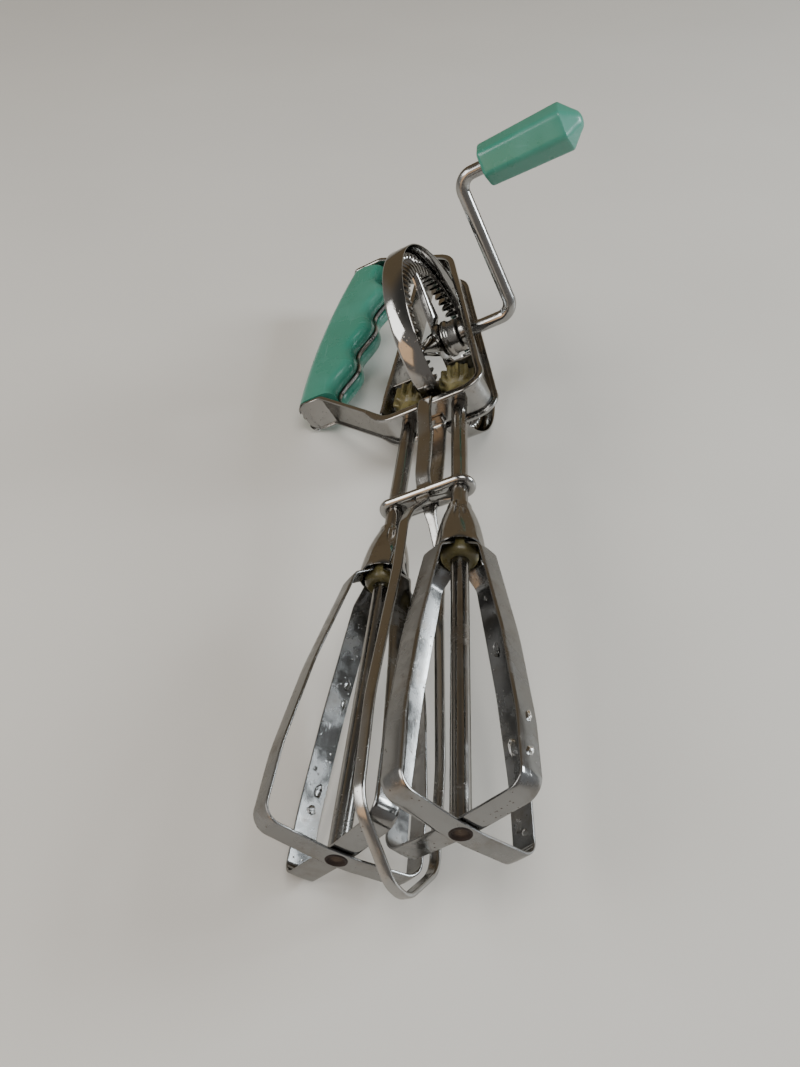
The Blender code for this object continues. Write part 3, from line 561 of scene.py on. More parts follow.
def shaded_rusty_rivet(name, centre):
    """Rivet head: worn steel and rust in the middle, and a near-black ring round it painted as the shade of
    the recess wall.
    """
    made, tree, shader = blank_material(name)
    wear = wear_in(tree, name, Smear_Size=300.0, Scratch_Size=1500.0, Pit_Size=1600.0)
    soil = soil_in(tree, name, 420.0, 0.72)
    steel = (0.17, 0.14, 0.11, 1.0)
    rust = tree.mix(soil["Grain"], (0.030, 0.017, 0.010, 1.0), (0.095, 0.062, 0.040, 1.0))
    place = tree.add("ShaderNodeTexCoord").outputs["Object"]
    away = tree.add("ShaderNodeVectorMath", operation="DISTANCE", inputs={0: place, 1: centre})
    wobble = tree.math("MULTIPLY", tree.math("SUBTRACT", soil["Grain"], 0.5), 0.0010)
    # Painted shade: the near-black outer ring stands for the shadow on the recess wall, laid over the rust.
    ring = tree.ramp(tree.math("ADD", away.outputs["Value"], wobble), 0.0010, 0.0021)
    worn = tree.mix(soil["Mask"], steel, rust)
    colour = tree.mix(ring, worn, (0.018, 0.009, 0.006, 1.0))
    tree.feed(colour, shader.inputs["Base Color"])
    tree.feed(tree.math("SUBTRACT", 1.0, tree.math("MULTIPLY", soil["Mask"], 0.85), True),
                        shader.inputs["Metallic"])
    tree.feed(tree.plus(0.34, soil["Mask"], 0.4, True),
                        shader.inputs["Roughness"])
    height = tree.plus(soil["Grain"], wear["Pit"], -0.5)
    add_bump(tree, shader, height, 1.0, 0.00014)
    return made


def water(name):
    """Clear water for the drops."""
    made, _, shader = blank_material(name)
    shader.inputs["Base Color"].default_value = (1.0, 1.0, 1.0, 1.0)
    shader.inputs["Roughness"].default_value = 0.02
    shader.inputs["IOR"].default_value = 1.33
    shader.inputs["Transmission Weight"].default_value = 1.0
    return made


# ---------------------------------------------------------------- frame

STRIP_HALF_WIDTH = 6.75
STRIP_HALF_SHEET = 0.45
ARM_LIP = 1.3
WALL_LIP = 2.2
STRAP_END_ROUND = 3.0
PLATE_FRONT_LIP = 3.1
PLATE_BACK_LIP = 2.4
FRAME_BOTTOM_LEFT = -16.1
FRAME_BOTTOM_RIGHT = 20.1
FRAME_CROWN = (4.0, 90.7)
SHOULDER_X = -30.6
HANDLE_LOW = 30.35
HANDLE_HIGH = 115.0
HANDLE_SEAT = 0.75
HANDLE_BACK = -59.2
HANDLE_BACK_BOW = 13.4
ARM_SLOPE = (HANDLE_HIGH + HANDLE_SEAT - FRAME_CROWN[1]) / (FRAME_CROWN[0] - SHOULDER_X)
LEFT_WALL_HALF_WIDTH = 5.6
TAB_HEIGHT = 20.0
TAB_REACH = 6.2
TAB_HALF_WIDTH = 4.4
SHAFT_RADIUS = 2.7
JOURNAL_RADIUS = 1.9
ROD_RADIUS = 2.4
COLLAR_DISTANCE = 42.9
WALL_HOLE_ROOM = 0.15
TURNED_BORE_ROOM = 0.1


def curled_section(half_width, lip_at, end_at=None):
    """Sheet section with both long edges rolled outward into a full round bead."""
    half = STRIP_HALF_SHEET

    def edge(lip, wide):
        """Corners of one bead: up the outside, over the roll and back down to the sheet."""
        back = min(1.25, 0.55 * lip)
        soft = 1.1 + 0.3 * ease((lip - WALL_LIP) / 0.9)
        inside = lip - 0.62
        return [(-half, wide, soft), (lip, wide, soft), (lip, wide - back, 0.3),
                (inside, wide - back, 0.3), (inside, wide - 0.7, 0.4), (half, wide - 0.7, 0.5)]

    def section(spot):
        front, back = lip_at(spot)
        wide = half_width + 0.2
        if end_at:
            left = min(max(end_at(spot), 0.0), STRAP_END_ROUND)
            wide -= STRAP_END_ROUND - math.sqrt(STRAP_END_ROUND ** 2 - (STRAP_END_ROUND - left) ** 2)
        corners = edge(front, wide) + [(away, -side, r) for away, side, r in reversed(edge(back, wide))]
        return [(p.x, p.y) for p in rounded_outline(corners, 5)]
    return section


def frame_lip(spot):
    """Front and back lip: low along the arms, full up the wall and deepest round the plate."""
    if spot.x < -24.0:
        return ARM_LIP, ARM_LIP
    deep = ease((9.0 - spot.y) / 7.0)
    full = WALL_LIP
    if spot.x <= 0.0:
        full = ARM_LIP + (WALL_LIP - ARM_LIP) * ease((spot.x + 24.0) / 12.0)
    return (full + (PLATE_FRONT_LIP - full) * deep, full + (PLATE_BACK_LIP - full) * deep)


def right_wall_at(height):
    return FRAME_BOTTOM_RIGHT + (FRAME_CROWN[0] - FRAME_BOTTOM_RIGHT) / FRAME_CROWN[1] * height


def shaft_hole(label, radius, low, high):
    bm = turned([(0.0, low), (radius, low), (radius, high), (0.0, high)], 48, "Y", False)
    return cutter(bm, SHAFT_PLACES[label])


def axle_hole(radius, left, right):
    bm = turned([(0.0, left), (radius, left), (radius, right), (0.0, right)], 48, "X", False)
    return cutter(bm, AXLE)


def outer_side(height):
    """The bowed back of the handle, where the palm lies."""
    share = (height - HANDLE_LOW) / (HANDLE_HIGH - HANDLE_LOW)
    return HANDLE_BACK + 0.6 * share + HANDLE_BACK_BOW * share * share


def make_frame_strip():
    low_line = HANDLE_LOW - HANDLE_SEAT
    high_line = HANDLE_HIGH + HANDLE_SEAT
    path = rounded_path([
        (outer_side(HANDLE_LOW) + 0.6, low_line, 0.0),
        (FRAME_BOTTOM_LEFT - low_line / 0.93, low_line, 4.0),
        (FRAME_BOTTOM_LEFT, 0.0, 8.0),
        (FRAME_BOTTOM_RIGHT, 0.0, 5.5),
        (*FRAME_CROWN, 14.0),
        (SHOULDER_X, high_line, 4.0),
        (outer_side(HANDLE_HIGH) + 0.6, high_line, 0.0)])
    path = refined(path, 3.0)
    tips = (path[0].copy(), path[-1].copy())
    start_way = (path[1] - tips[0]).normalized()
    end_way = (path[-2] - tips[1]).normalized()
    steps = (0.15, 0.5, 1.0, 1.7, 2.4)
    near_start = [tips[0] + start_way * step for step in steps]
    near_end = [tips[1] + end_way * step for step in reversed(steps)]
    path = path[:1] + near_start + path[1:-1] + near_end + path[-1:]

    def to_end(spot):
        return min((spot - tip).length for tip in tips)

    bm = carried(swept_rings(path, curled_section(STRIP_HALF_WIDTH, frame_lip, to_end), "XY"))
    obj = finish_piece("frame_strip_formed", bm, UPRIGHT, "frame", "frame_strip",
                       plated_steel("frame_strip_plating", 0.10, 0.16, 0.30))
    loop_notch = cutter(block((-3.1, -8.0, 5.5), (3.1, 2.0, 9.0), 0.3), UPRIGHT)
    shaft_room = SHAFT_RADIUS + WALL_HOLE_ROOM
    cut(obj, [shaft_hole("right", shaft_room, -4.0, 4.0), shaft_hole("left", shaft_room, -4.0, 4.0),
              axle_hole(ROD_RADIUS + WALL_HOLE_ROOM, 8.0, 20.0), loop_notch])
    tab_obj = make_shaft_tab("right", TAB_REACH, right_wall_at(TAB_HEIGHT) - 0.2)


def make_shaft_tab(label, left, right):
    """Ear bent inward from a wall, bored for the top of one shaft."""
    low = (left, TAB_HEIGHT - STRIP_HALF_SHEET, -TAB_HALF_WIDTH)
    high = (right, TAB_HEIGHT + STRIP_HALF_SHEET, TAB_HALF_WIDTH)
    obj = finish_piece(label + "_shaft_tab", block(low, high, 0.22), UPRIGHT, "frame", None,
                       plated_steel(label + "_tab_plating", 0.12, 0.18, 0.40))
    cut(obj, [shaft_hole(label, JOURNAL_RADIUS + 0.12, TAB_HEIGHT - 3.0, TAB_HEIGHT + 3.0)])
    return obj


def make_left_wall():
    """Inner wall, bent once on its way up from the plate to the arm."""
    low = (-18.5, 4.5)
    middle = (-14.3, 38.6)
    top_y = FRAME_CROWN[1] + ARM_SLOPE * (FRAME_CROWN[0] + 8.3) - 1.25
    high = (-8.75, top_y)

    def lip_at(spot):
        lip = 0.86 + 0.44 * ease((spot.y - 7.0) / 8.0) * ease((top_y - 3.0 - spot.y) / 6.0)
        return lip, lip

    path = refined(rounded_path([(*high, 0.0), (*middle, 30.0), (*low, 0.0)]), 2.0)
    bm = carried(swept_rings(path, curled_section(LEFT_WALL_HALF_WIDTH, lip_at), "XY"))
    obj = finish_piece("left_wall_formed", bm, UPRIGHT, "frame", "left_wall",
                       plated_steel("left_wall_plating", 0.11, 0.16, 0.38))
    cut(obj, [axle_hole(ROD_RADIUS + WALL_HOLE_ROOM, -20.0, -8.0)])
    inside = low[0] + (TAB_HEIGHT - low[1]) / (middle[1] - low[1]) * (middle[0] - low[0])
    tab_obj = make_shaft_tab("left", inside + 0.2, -TAB_REACH)


# ---------------------------------------------------------------- handle

HANDLE_DEEP = 7.1
CORE_HALF = 0.8
CORE_PROUD = 0.6
FINGER_PITCH = 22.9
FINGER_FIRST = 46.9
FINGER_SWELL = 1.9
OUTLINE_STEPS = 110
MOULDING_STEPS = 120


def finger_side(height):
    """The wavy side where the fingers lie, kept clear of the upper arm."""
    bend = min(height, 92.0)
    base = -42.6 + 0.2305 * (bend - HANDLE_LOW) - 0.105 * (height - bend)
    wave = math.cos(2.0 * math.pi * (height - FINGER_FIRST) / FINGER_PITCH)
    arm = FRAME_CROWN[0] - (height - FRAME_CROWN[1]) / ARM_SLOPE
    room = (HANDLE_SEAT + CORE_PROUD) * math.hypot(1.0, 1.0 / ARM_SLOPE) + 0.1
    full = base + FINGER_SWELL * wave
    clip = arm - room
    return 0.5 * (full + clip - math.sqrt((full - clip) ** 2 + 0.4))


def handle_outline():
    span = HANDLE_HIGH - HANDLE_LOW
    heights = [HANDLE_LOW + span * k / OUTLINE_STEPS for k in range(OUTLINE_STEPS + 1)]
    finger = [Vector((finger_side(y), y)) for y in heights]
    outer = [Vector((outer_side(y), y)) for y in reversed(heights[::2])]
    return finger + outer


def grown(outline, by):
    """The outline with its long sides moved out by a distance; the ends stay in line."""
    moved = []
    for i, spot in enumerate(outline):
        before = outline[i - 1]
        after = outline[(i + 1) % len(outline)]
        if abs(before.y - spot.y) < 1e-6 or abs(after.y - spot.y) < 1e-6:
            outward = Vector((1.0 if spot.x > -45.0 + spot.y * 0.05 else -1.0, 0.0))
        else:
            along = (after - before).normalized()
            outward = Vector((along.y, -along.x))
        height = min(max(spot.y + outward.y * by, HANDLE_LOW), HANDLE_HIGH)
        moved.append(Vector((spot.x + outward.x * by, height)))
    return moved


def make_handle():
    outline = handle_outline()
    rings = []
    for z, by in ((-CORE_HALF, CORE_PROUD - 0.3), (-CORE_HALF + 0.25, CORE_PROUD),
                  (CORE_HALF - 0.25, CORE_PROUD), (CORE_HALF, CORE_PROUD - 0.3)):
        rings.append([(p.x, p.y, z) for p in grown(outline, by)])
    finish_piece("handle_core_edge", carried(rings), UPRIGHT, "frame", "handle_core",
                 plated_steel("handle_core_plating", 0.12, 0.18, 0.45))
    for label, side in (("handle_front", 1), ("handle_back", -1)):
        finish_piece(label + "_moulding", carried(handle_half_rings(side)), UPRIGHT, "frame", label,
                     moulded_turquoise(label + "_turquoise", 0.35, 0.66), math.radians(50.0))


def handle_half_rings(side):
    """Cross-sections of one handle half: seam face, rounded edges and a slightly crowned face."""
    seam = CORE_HALF + 0.15
    face = HANDLE_DEEP - 0.15
    round_x = 4.2
    round_z = 4.0
    rings = []
    for step in range(MOULDING_STEPS + 1):
        height = HANDLE_LOW + 0.02 + (HANDLE_HIGH - HANDLE_LOW - 0.04) * step / MOULDING_STEPS
        back = outer_side(height)
        finger = finger_side(height)
        ring = [(back + 0.25, seam), (back, seam + 0.25)]
        for k in range(9):
            lean = k / 8.0 * math.pi / 2.0
            ring.append((back + round_x * (1.0 - math.cos(lean)), face - round_z * (1.0 - math.sin(lean))))
        flat = (finger - round_x) - (back + round_x)
        for k in range(1, 6):
            share = k / 6.0
            ring.append((back + round_x + flat * share, face + 0.15 * math.sin(share * math.pi)))
        for k in range(9):
            lean = (1.0 - k / 8.0) * math.pi / 2.0
            ring.append((finger - round_x * (1.0 - math.cos(lean)), face - round_z * (1.0 - math.sin(lean))))
        ring += [(finger, seam + 0.25), (finger - 0.25, seam)]
        rings.append([(x, height, side * z) for x, z in ring])
    return rings


# ---------------------------------------------------------------- collar plate, loop and bearing

COLLAR_HALF_LENGTH = 16.9
COLLAR_HALF_DEPTH = 4.7
COLLAR_HALF_HEIGHT = 1.5


def make_collar_plate():
    """Stadium-shaped plate with a rounded edge, bored for the shafts and slotted for the loop."""
    run = COLLAR_HALF_LENGTH - COLLAR_HALF_DEPTH
    outline = []
    for side, start in ((1, -90.0), (-1, 90.0)):
        for k in range(25):
            angle = math.radians(start + 7.5 * k)
            outline.append((side * run, math.cos(angle), math.sin(angle)))
    rings = []
    steps = 12
    for k in range(steps + 1):
        lean = -math.pi / 2.0 + math.pi * k / steps
        height = COLLAR_HALF_HEIGHT * math.sin(lean)
        radius = COLLAR_HALF_DEPTH - COLLAR_HALF_HEIGHT * (1.0 - math.cos(lean))
        rings.append([(x + radius * c, -COLLAR_DISTANCE + height, radius * s) for x, c, s in outline])
    obj = finish_piece("collar_plate_rounded", carried(rings), UPRIGHT, "frame", "collar_plate",
                       plated_steel("collar_plate_plating", 0.08, 0.12, 0.22), math.radians(40.0))
    level = -COLLAR_DISTANCE
    slots = [cutter(block((-2.75, level - 3.0, low), (2.75, level + 3.0, low + 1.7)), UPRIGHT)
             for low in (1.75, -3.45)]
    bores = [shaft_hole(label, SHAFT_RADIUS + TURNED_BORE_ROOM, level - 4.0, level + 4.0)
             for label in ("right", "left")]
    cut(obj, bores + slots)


LOOP_HALF_UPPER = 2.6
LOOP_HALF_LOWER = 1.55
LOOP_HALF_SHEET = 0.7
LOOP_BULGE = 18.5
LOOP_END = 174.3
LOOP_SKEW = 2.2
LOOP_CORNER = 0.68
LOOP_SEAT = 1.45


def make_guard_loop():
    """Strap from the front of the frame plate, round the ends of the beaters, to its back."""
    end = LOOP_END
    bulge = LOOP_BULGE
    sheet = LOOP_SEAT
    collar = -COLLAR_DISTANCE
    shared = [(collar + 3.5, 2.6, 3.0), (collar - 4.2, 2.6, 4.0), (collar - 14.6, 9.2, 6.0),
              (collar - 21.6, 11.6, 14.0), (collar - 41.1, 12.6, 40.0), (-132.0, bulge, 60.0),
              (12.6 - end, bulge, 10.0)]
    front = [(sheet, 1.0, 0.0), (sheet, 6.35, 1.6), (-1.6, 6.75, 6.0), (-7.0, 6.6, 20.0),
             (-17.0, 4.5, 20.0), (-35.0, 4.2, 14.0)]
    back = [(-35.0, 4.4, 14.0), (-15.0, 4.9, 20.0), (-sheet, 4.4, 1.8), (-sheet, 1.0, 0.0)]
    corners = front + shared + [(-end, 3.6 - LOOP_SKEW, 8.0), (-end, -3.6 - LOOP_SKEW, 8.0)]
    corners += [(y, -z, r) for y, z, r in reversed(shared)]
    corners += [(y, -z, r) for y, z, r in back]
    path = refined(rounded_path(corners, 4.0), 3.0)

    def section(spot):
        share = ease((spot.x - collar + 8.0) / 7.0)
        wide = LOOP_HALF_LOWER + (LOOP_HALF_UPPER - LOOP_HALF_LOWER) * share
        half = LOOP_HALF_SHEET
        turns = [(a, b, LOOP_CORNER) for a, b in ((half, -wide), (half, wide), (-half, wide), (-half, -wide))]
        return [(p.x, p.y) for p in rounded_outline(turns, 4)]

    finish_piece("guard_loop_strap", carried(swept_rings(path, section, "YZ")), UPRIGHT, "frame",
                 "guard_loop", plated_steel("guard_loop_plating", 0.10, 0.16, 0.35))


def make_bearing():
    """Sleeve of the crank rod; where a profile spot has no place along, it meets the leaning wall."""
    rings = []
    wall = STRIP_HALF_SHEET / 0.98 + 0.3
    bore = ROD_RADIUS + TURNED_BORE_ROOM
    profile = [(bore, None), (bore, 9.5), (ROD_RADIUS + 0.4, 9.3), (4.4, 9.3),
               (4.85, 9.45), (5.0, 9.9), (5.0, None)]
    for radius, along in profile:
        ring = []
        for c, s in circle(radius, 64):
            height = WHEEL_HEIGHT + c
            reach = right_wall_at(height) - wall if along is None else along
            ring.append((reach, height, s))
        rings.append(ring)
    finish_piece("crank_bearing_sleeve", carried(rings, "bridged"), UPRIGHT, "frame", "crank_bearing",
                 plated_steel("crank_bearing_plating", 0.12, 0.16, 0.4))


# ---------------------------------------------------------------- drive wheel and crank

WHEEL_RADIUS = 37.3
WHEEL_TEETH = 60
TOOTH_INNER = 27.0
TOOTH_OUTER = 34.0
TOOTH_DEPTH = 2.1
RIM_LEFT = -3.6
RIM_RIGHT = 4.5
RIM_CLEARANCE = 0.08
WHEEL_HALF_SHEET = 0.28
SPOKES = 4
SPOKE_TURN = 60.0
SPOKE_RIB_SHARE = 0.86


def tooth_wave(angle):
    """Height of the pressed teeth across the sheet: flat crests and valleys joined by slopes."""
    phase = math.cos(WHEEL_TEETH * angle)
    return -max(-1.0, min(1.0, 1.75 * phase))


def make_drive_wheel():
    """Cup-rimmed wheel: the toothed sheet, out over the rolled rim and back, then spokes and boss."""
    count = WHEEL_TEETH * 10
    turns = [2.0 * math.pi * (k + 0.5) / count for k in range(count)]

    def ring_points(radius, along, swell):
        return [(along + swell * TOOTH_DEPTH * tooth_wave(a), -radius * math.cos(a), radius * math.sin(a))
                for a in turns]

    half = WHEEL_HALF_SHEET
    edge = WHEEL_RADIUS - RIM_CLEARANCE
    toothed = [(TOOTH_INNER, 1.0), (TOOTH_INNER + 2.2, 0.96), (TOOTH_INNER + 3.8, 0.72),
               (TOOTH_OUTER - 1.6, 0.38), (TOOTH_OUTER - 0.6, 0.16), (TOOTH_OUTER + 0.2, 0.02),
               (TOOTH_OUTER + 0.9, 0.0)]
    rim = [(edge - 1.8, half), (edge - 1.3, -0.6), (edge - 0.95, -1.6), (edge - 0.75, RIM_LEFT + 1.2),
           (edge - 0.62, 0.0), (edge - 0.6, RIM_RIGHT - 0.25), (edge - 0.42, RIM_RIGHT),
           (edge - 0.15, RIM_RIGHT), (edge, RIM_RIGHT - 0.25), (edge, RIM_LEFT + 0.8),
           (edge - 0.1, RIM_LEFT + 0.3), (edge - 0.4, RIM_LEFT), (edge - 0.85, RIM_LEFT + 0.1),
           (edge - 1.25, RIM_LEFT + 0.9), (edge - 1.7, -1.6), (edge - 1.95, -half - 0.4)]
    profile = [(radius, half, swell) for radius, swell in toothed]
    profile += [(radius, along, 0.0) for radius, along in rim]
    profile += [(radius, -half, swell) for radius, swell in reversed(toothed)]
    bm = carried([ring_points(*spot) for spot in profile], "bridged")
    finish_piece("drive_wheel_rim", bm, AXLE, "crank", "drive_wheel",
                 plated_steel("wheel_plating", 0.05, 0.10, 0.22, 0.00008), math.radians(42.0))
    parts = [make_spoke(math.radians(SPOKE_TURN + 360.0 * k / SPOKES)) for k in range(SPOKES)]
    boss_bore = ROD_RADIUS + 0.12
    boss = [(boss_bore, -0.5), (6.4, -0.5), (7.2, -0.35), (7.5, 0.0), (7.3, 0.6), (6.6, 1.5),
            (5.6, 2.1), (4.6, 2.45), (3.4, 2.55), (boss_bore, 2.55)]
    parts.append(turned(boss, 72, "X", True))
    spider = finish_piece("drive_wheel_spokes", joined(parts), AXLE, "crank", None,
                          plated_steel("spoke_plating", 0.06, 0.12, 0.3), math.radians(38.0))


def make_spoke(angle):
    """One pressed spoke: a tapered strip with a half-round rib pressed along its middle."""
    along = Vector((0.0, math.cos(angle), math.sin(angle)))
    sideways = Vector((0.0, -math.sin(angle), math.cos(angle)))

    def rib(u):
        return math.sqrt(max(0.0, 1.0 - (u / SPOKE_RIB_SHARE) ** 2)) if abs(u) < SPOKE_RIB_SHARE else 0.0

    rings = []
    stations = 22
    for k in range(stations + 1):
        share = k / stations
        reach = 5.5 + (29.0 - 5.5) * share
        wide = 4.5 + (1.8 - 4.5) * ease(share * 1.1)
        faded = ease((share - 0.02) / 0.14) * ease((1.06 - share) / 0.14)
        crown = (2.3 + (1.4 - 2.3) * share) * faded + 0.25
        ring = []
        for j in range(17):
            u = -1.0 + j / 8.0
            lift = crown * rib(u)
            ring.append(along * reach + sideways * wide * u + Vector((0.3 + lift, 0.0, 0.0)))
        for j in range(17):
            u = 1.0 - j / 8.0
            lift = (crown - 0.2) * rib(u)
            ring.append(along * reach + sideways * (wide * u * 0.97) + Vector((-0.35 + lift, 0.0, 0.0)))
        rings.append(ring)
    return carried(rings)


AXLE_LEFT_END = -16.6
CRANK_THROW = 50.6
CRANK_LEAN = math.radians(17.4)
CRANK_BEND_RADIUS = 5.5
CRANK_FOOT = 30.3
CRANK_HEAD = 31.7
STUB_END = 66.0


def rod_rings(path, radius, count, side):
    """Round sections square to a bent path."""
    rings = []
    for i, spot in enumerate(path):
        before = path[max(i - 1, 0)]
        after = path[min(i + 1, len(path) - 1)]
        along = (after - before).normalized()
        if 0 < i < len(path) - 1:
            along = ((spot - before).normalized() + (after - spot).normalized()).normalized()
        other = along.cross(side).normalized()
        rings.append([spot + side * c + other * s for c, s in circle(radius, count)])
    return rings


def make_crank():
    """The bent rod, with the stepped hub and the stop that are fixed on it."""
    up = CRANK_THROW * math.sin(CRANK_LEAN)
    out = CRANK_THROW * math.cos(CRANK_LEAN)
    left_end = Vector((AXLE_LEFT_END, 0.0, 0.0))
    path = rounded_path([(*left_end, 0.0), (CRANK_FOOT, 0.0, 0.0, CRANK_BEND_RADIUS),
                         (CRANK_HEAD, up, out, CRANK_BEND_RADIUS), (STUB_END, up, out, 0.0)], 3.0)
    path = refined(path, 4.0)
    side = Vector((0.0, -math.cos(CRANK_LEAN), math.sin(CRANK_LEAN)))
    rings = rod_rings(path, ROD_RADIUS, 40, side)
    first = [left_end + (p - path[0]) * 0.82 for p in rings[0]]
    rings[0] = [p + Vector((0.45, 0.0, 0.0)) for p in rings[0]]
    finish_piece("crank_rod_bent", carried([first] + rings), AXLE, "crank", "crank_rod",
                 plated_steel("crank_rod_plating", 0.09, 0.14, 0.3))
    bore = ROD_RADIUS + TURNED_BORE_ROOM
    hub = [(bore, 2.9), (6.7, 2.9), (7.0, 3.2), (7.0, 4.2), (6.8, 4.6), (6.35, 4.95), (6.2, 5.3),
           (6.2, 8.0), (6.0, 8.4), (5.6, 8.6), (bore, 8.6)]
    finish_piece("wheel_hub_turned", turned(hub, 72, "X", True), AXLE, "crank", "wheel_hub",
                 plated_steel("wheel_hub_plating", 0.12, 0.2, 0.5))
    stop = [(bore, -16.3), (3.5, -16.3), (3.95, -16.15), (4.1, -15.85), (4.05, -15.55),
            (3.4, -15.3), (bore, -15.3)]
    finish_piece("crank_stop_turned", turned(stop, 56, "X", True), AXLE, "crank", "crank_stop",
                 plated_steel("crank_stop_plating", 0.14, 0.2, 0.5))


def make_knob():
    """Flared six-sided knob with a blunt pyramid tip and a bore for the stub."""
    count = 96
    soft_corner = 0.05
    flat_share = math.cos(math.pi / 6.0)

    def six_sided(radius, along, soft):
        """A six-sided ring with its corners eased off."""
        ring = []
        for k in range(count):
            angle = 2.0 * math.pi * k / count
            offset = (angle + 1e-9) % (math.pi / 3.0) - math.pi / 6.0
            straight = radius * flat_share / math.cos(offset)
            limit = radius * (1.0 - soft)
            blend = 0.02 * radius
            reach = 0.5 * (straight + limit - math.sqrt((straight - limit) ** 2 + blend ** 2))
            ring.append((along, reach * math.cos(angle), reach * math.sin(angle)))
        return ring

    base = 7.8
    wide = 8.72
    shoulder = 30.2
    tip = 36.15
    rings = [[(0.4, c, s) for c, s in circle(ROD_RADIUS + 0.12, count)],
             [(0.0, c, s) for c, s in circle(ROD_RADIUS + 0.35, count)]]
    rings += [six_sided(base - inset, along, soft_corner)
              for inset, along in ((1.5, 0.0), (0.9, 0.08), (0.4, 0.35), (0.1, 0.8), (0.0, 1.5))]
    for k in range(1, 12):
        share = k / 12.0
        rings.append(six_sided(base + (wide - base) * share, 1.5 + (shoulder - 2.1) * share, soft_corner))
    rings += [six_sided(wide - inset, shoulder + along, soft_corner)
              for inset, along in ((0.0, -0.6), (0.03, -0.2), (0.2, 0.2), (0.6, 0.55))]
    for k in range(1, 8):
        share = k / 8.0
        radius = wide - 0.6 + (3.7 - wide + 0.6) * share
        along = shoulder + 0.55 + (tip - 1.75 - shoulder) * share
        rings.append(six_sided(radius, along, soft_corner + 0.06 * share))
    rings += [six_sided(radius, tip - below, soft) for radius, below, soft in (
        (3.5, 1.0, 0.12), (3.0, 0.62, 0.13), (2.2, 0.3, 0.14), (1.2, 0.08, 0.14), (0.4, 0.0, 0.14))]
    bm = carried(rings, "open")
    bm.edges.ensure_lookup_table()
    ends = [e for e in bm.edges if e.is_boundary]
    last = [e for e in ends if min(v.co.x for v in e.verts) > tip - 0.05]
    bmesh.ops.contextual_create(bm, geom=last)
    deep = [e for e in bm.edges if e.is_boundary]
    inner = bmesh.ops.extrude_edge_only(bm, edges=deep)
    fresh = [v for v in inner["geom"] if isinstance(v, bmesh.types.BMVert)]
    bmesh.ops.translate(bm, vec=(25.0, 0.0, 0.0), verts=fresh)
    bmesh.ops.contextual_create(bm, geom=[e for e in bm.edges if e.is_boundary])
    finish_piece("knob_moulding", bm, KNOB_PLACE, "knob", "knob",
                 moulded_turquoise("knob_turquoise", 0.2, 0.64), math.radians(24.0))


# ---------------------------------------------------------------- beaters

PINION_TEETH = 13
BELL_TOP = 52.8
BELL_BOTTOM = 73.2
BELL_PINCHES = (0.9, 0.9 + math.pi)
SHAFT_TOP = 21.6
JOURNAL_FOOT = 17.6
SHAFT_SHOULDER = 17.1
BLADE_TOP_RADIUS = 6.45
BLADE_RADIUS = 22.4
BLADE_HALF_WIDTH = 3.5
BLADE_HALF_SHEET = 0.4
BLADE_FLARE = 73.9
BLADE_END = 162.9
# Painted shade: the blades get a darker copy of the plating colour, standing for the shadowed table they
# mirror.
SHADED_BLADE_COLOUR = (0.255, 0.255, 0.253)
RIVET_HOLE_RADIUS = 2.42
BLADE_TURNS = {"right": 17.3, "left": 27.7}
PINION_TURNS = {"right": math.pi, "left": math.pi / PINION_TEETH}


def gear_outline(tip, root, turn):
    """Rounded teeth as (x, z) points, sixteen to each tooth."""
    outline = []
    pitch = 2.0 * math.pi / PINION_TEETH
    for tooth in range(PINION_TEETH):
        middle = turn + tooth * pitch
        for k in range(16):
            offset = (k / 16.0 - 0.5) * pitch
            share = abs(offset) / (pitch / 2.0)
            rise = 1.0 - ease((share - 0.24) / 0.42)
            radius = root + (tip - root) * rise
            outline.append((radius * math.cos(middle + offset), radius * math.sin(middle + offset)))
    return outline


def on_circle(outline, radius):
    return [(radius * x / math.hypot(x, z), radius * z / math.hypot(x, z)) for x, z in outline]


def make_pinion(label):
    """Moulded pinion: collar, teeth and upper sleeve, around the shaft's bore."""
    teeth = gear_outline(7.1, 5.65, PINION_TURNS[label])
    round_line = on_circle(teeth, 1.0)

    def bare(radius):
        return [(x * radius, z * radius) for x, z in round_line]

    eased = [(x * 0.93, z * 0.93) for x, z in teeth]
    levels = [(0.9, bare(2.85)), (0.9, bare(4.0)), (1.15, bare(4.3)), (7.4, bare(4.3)), (7.75, bare(4.6)),
              (8.3, on_circle(teeth, 5.2)), (8.75, eased), (9.1, teeth), (14.6, teeth), (15.0, eased),
              (15.4, on_circle(teeth, 5.2)), (15.7, bare(4.5)), (16.1, bare(4.2)), (18.35, bare(4.0)),
              (18.6, bare(3.75)), (18.6, bare(2.85))]
    bm = carried([[(x, along, z) for x, z in outline] for along, outline in levels], "bridged")
    finish_piece(label + "_pinion_moulded", bm, SHAFT_PLACES[label], label + "_beater", label + "_pinion",
                 olive_nylon(label + "_pinion_nylon"), math.radians(40.0))


def blade_section(spot):
    """Section of a blade strip: slightly crowned, and wrapped to the bushing near its top."""
    wrap = max(0.13, clamp((BLADE_FLARE + 5.1 + spot.y) / 5.0))
    top = []
    steps = 8
    for k in range(steps + 1):
        side = (BLADE_HALF_WIDTH - 0.22) * (2.0 * k / steps - 1.0)
        drop = wrap * (BLADE_TOP_RADIUS - math.sqrt(BLADE_TOP_RADIUS ** 2 - side ** 2))
        top.append((-drop, side))
    half = BLADE_HALF_SHEET
    upper = [(half + away, side) for away, side in top]
    lower = [(-half + away, side) for away, side in reversed(top)]
    ends = []
    for side, drop in ((1.0, top[-1][0]), (-1.0, top[0][0])):
        ends.append([(half * c + drop, side * (BLADE_HALF_WIDTH - 0.22 + 0.22 * s))
                     for c, s in ((0.75, 0.7), (0.3, 1.0), (-0.3, 1.0), (-0.75, 0.7))])
    return upper + ends[0] + lower + list(reversed(ends[1]))


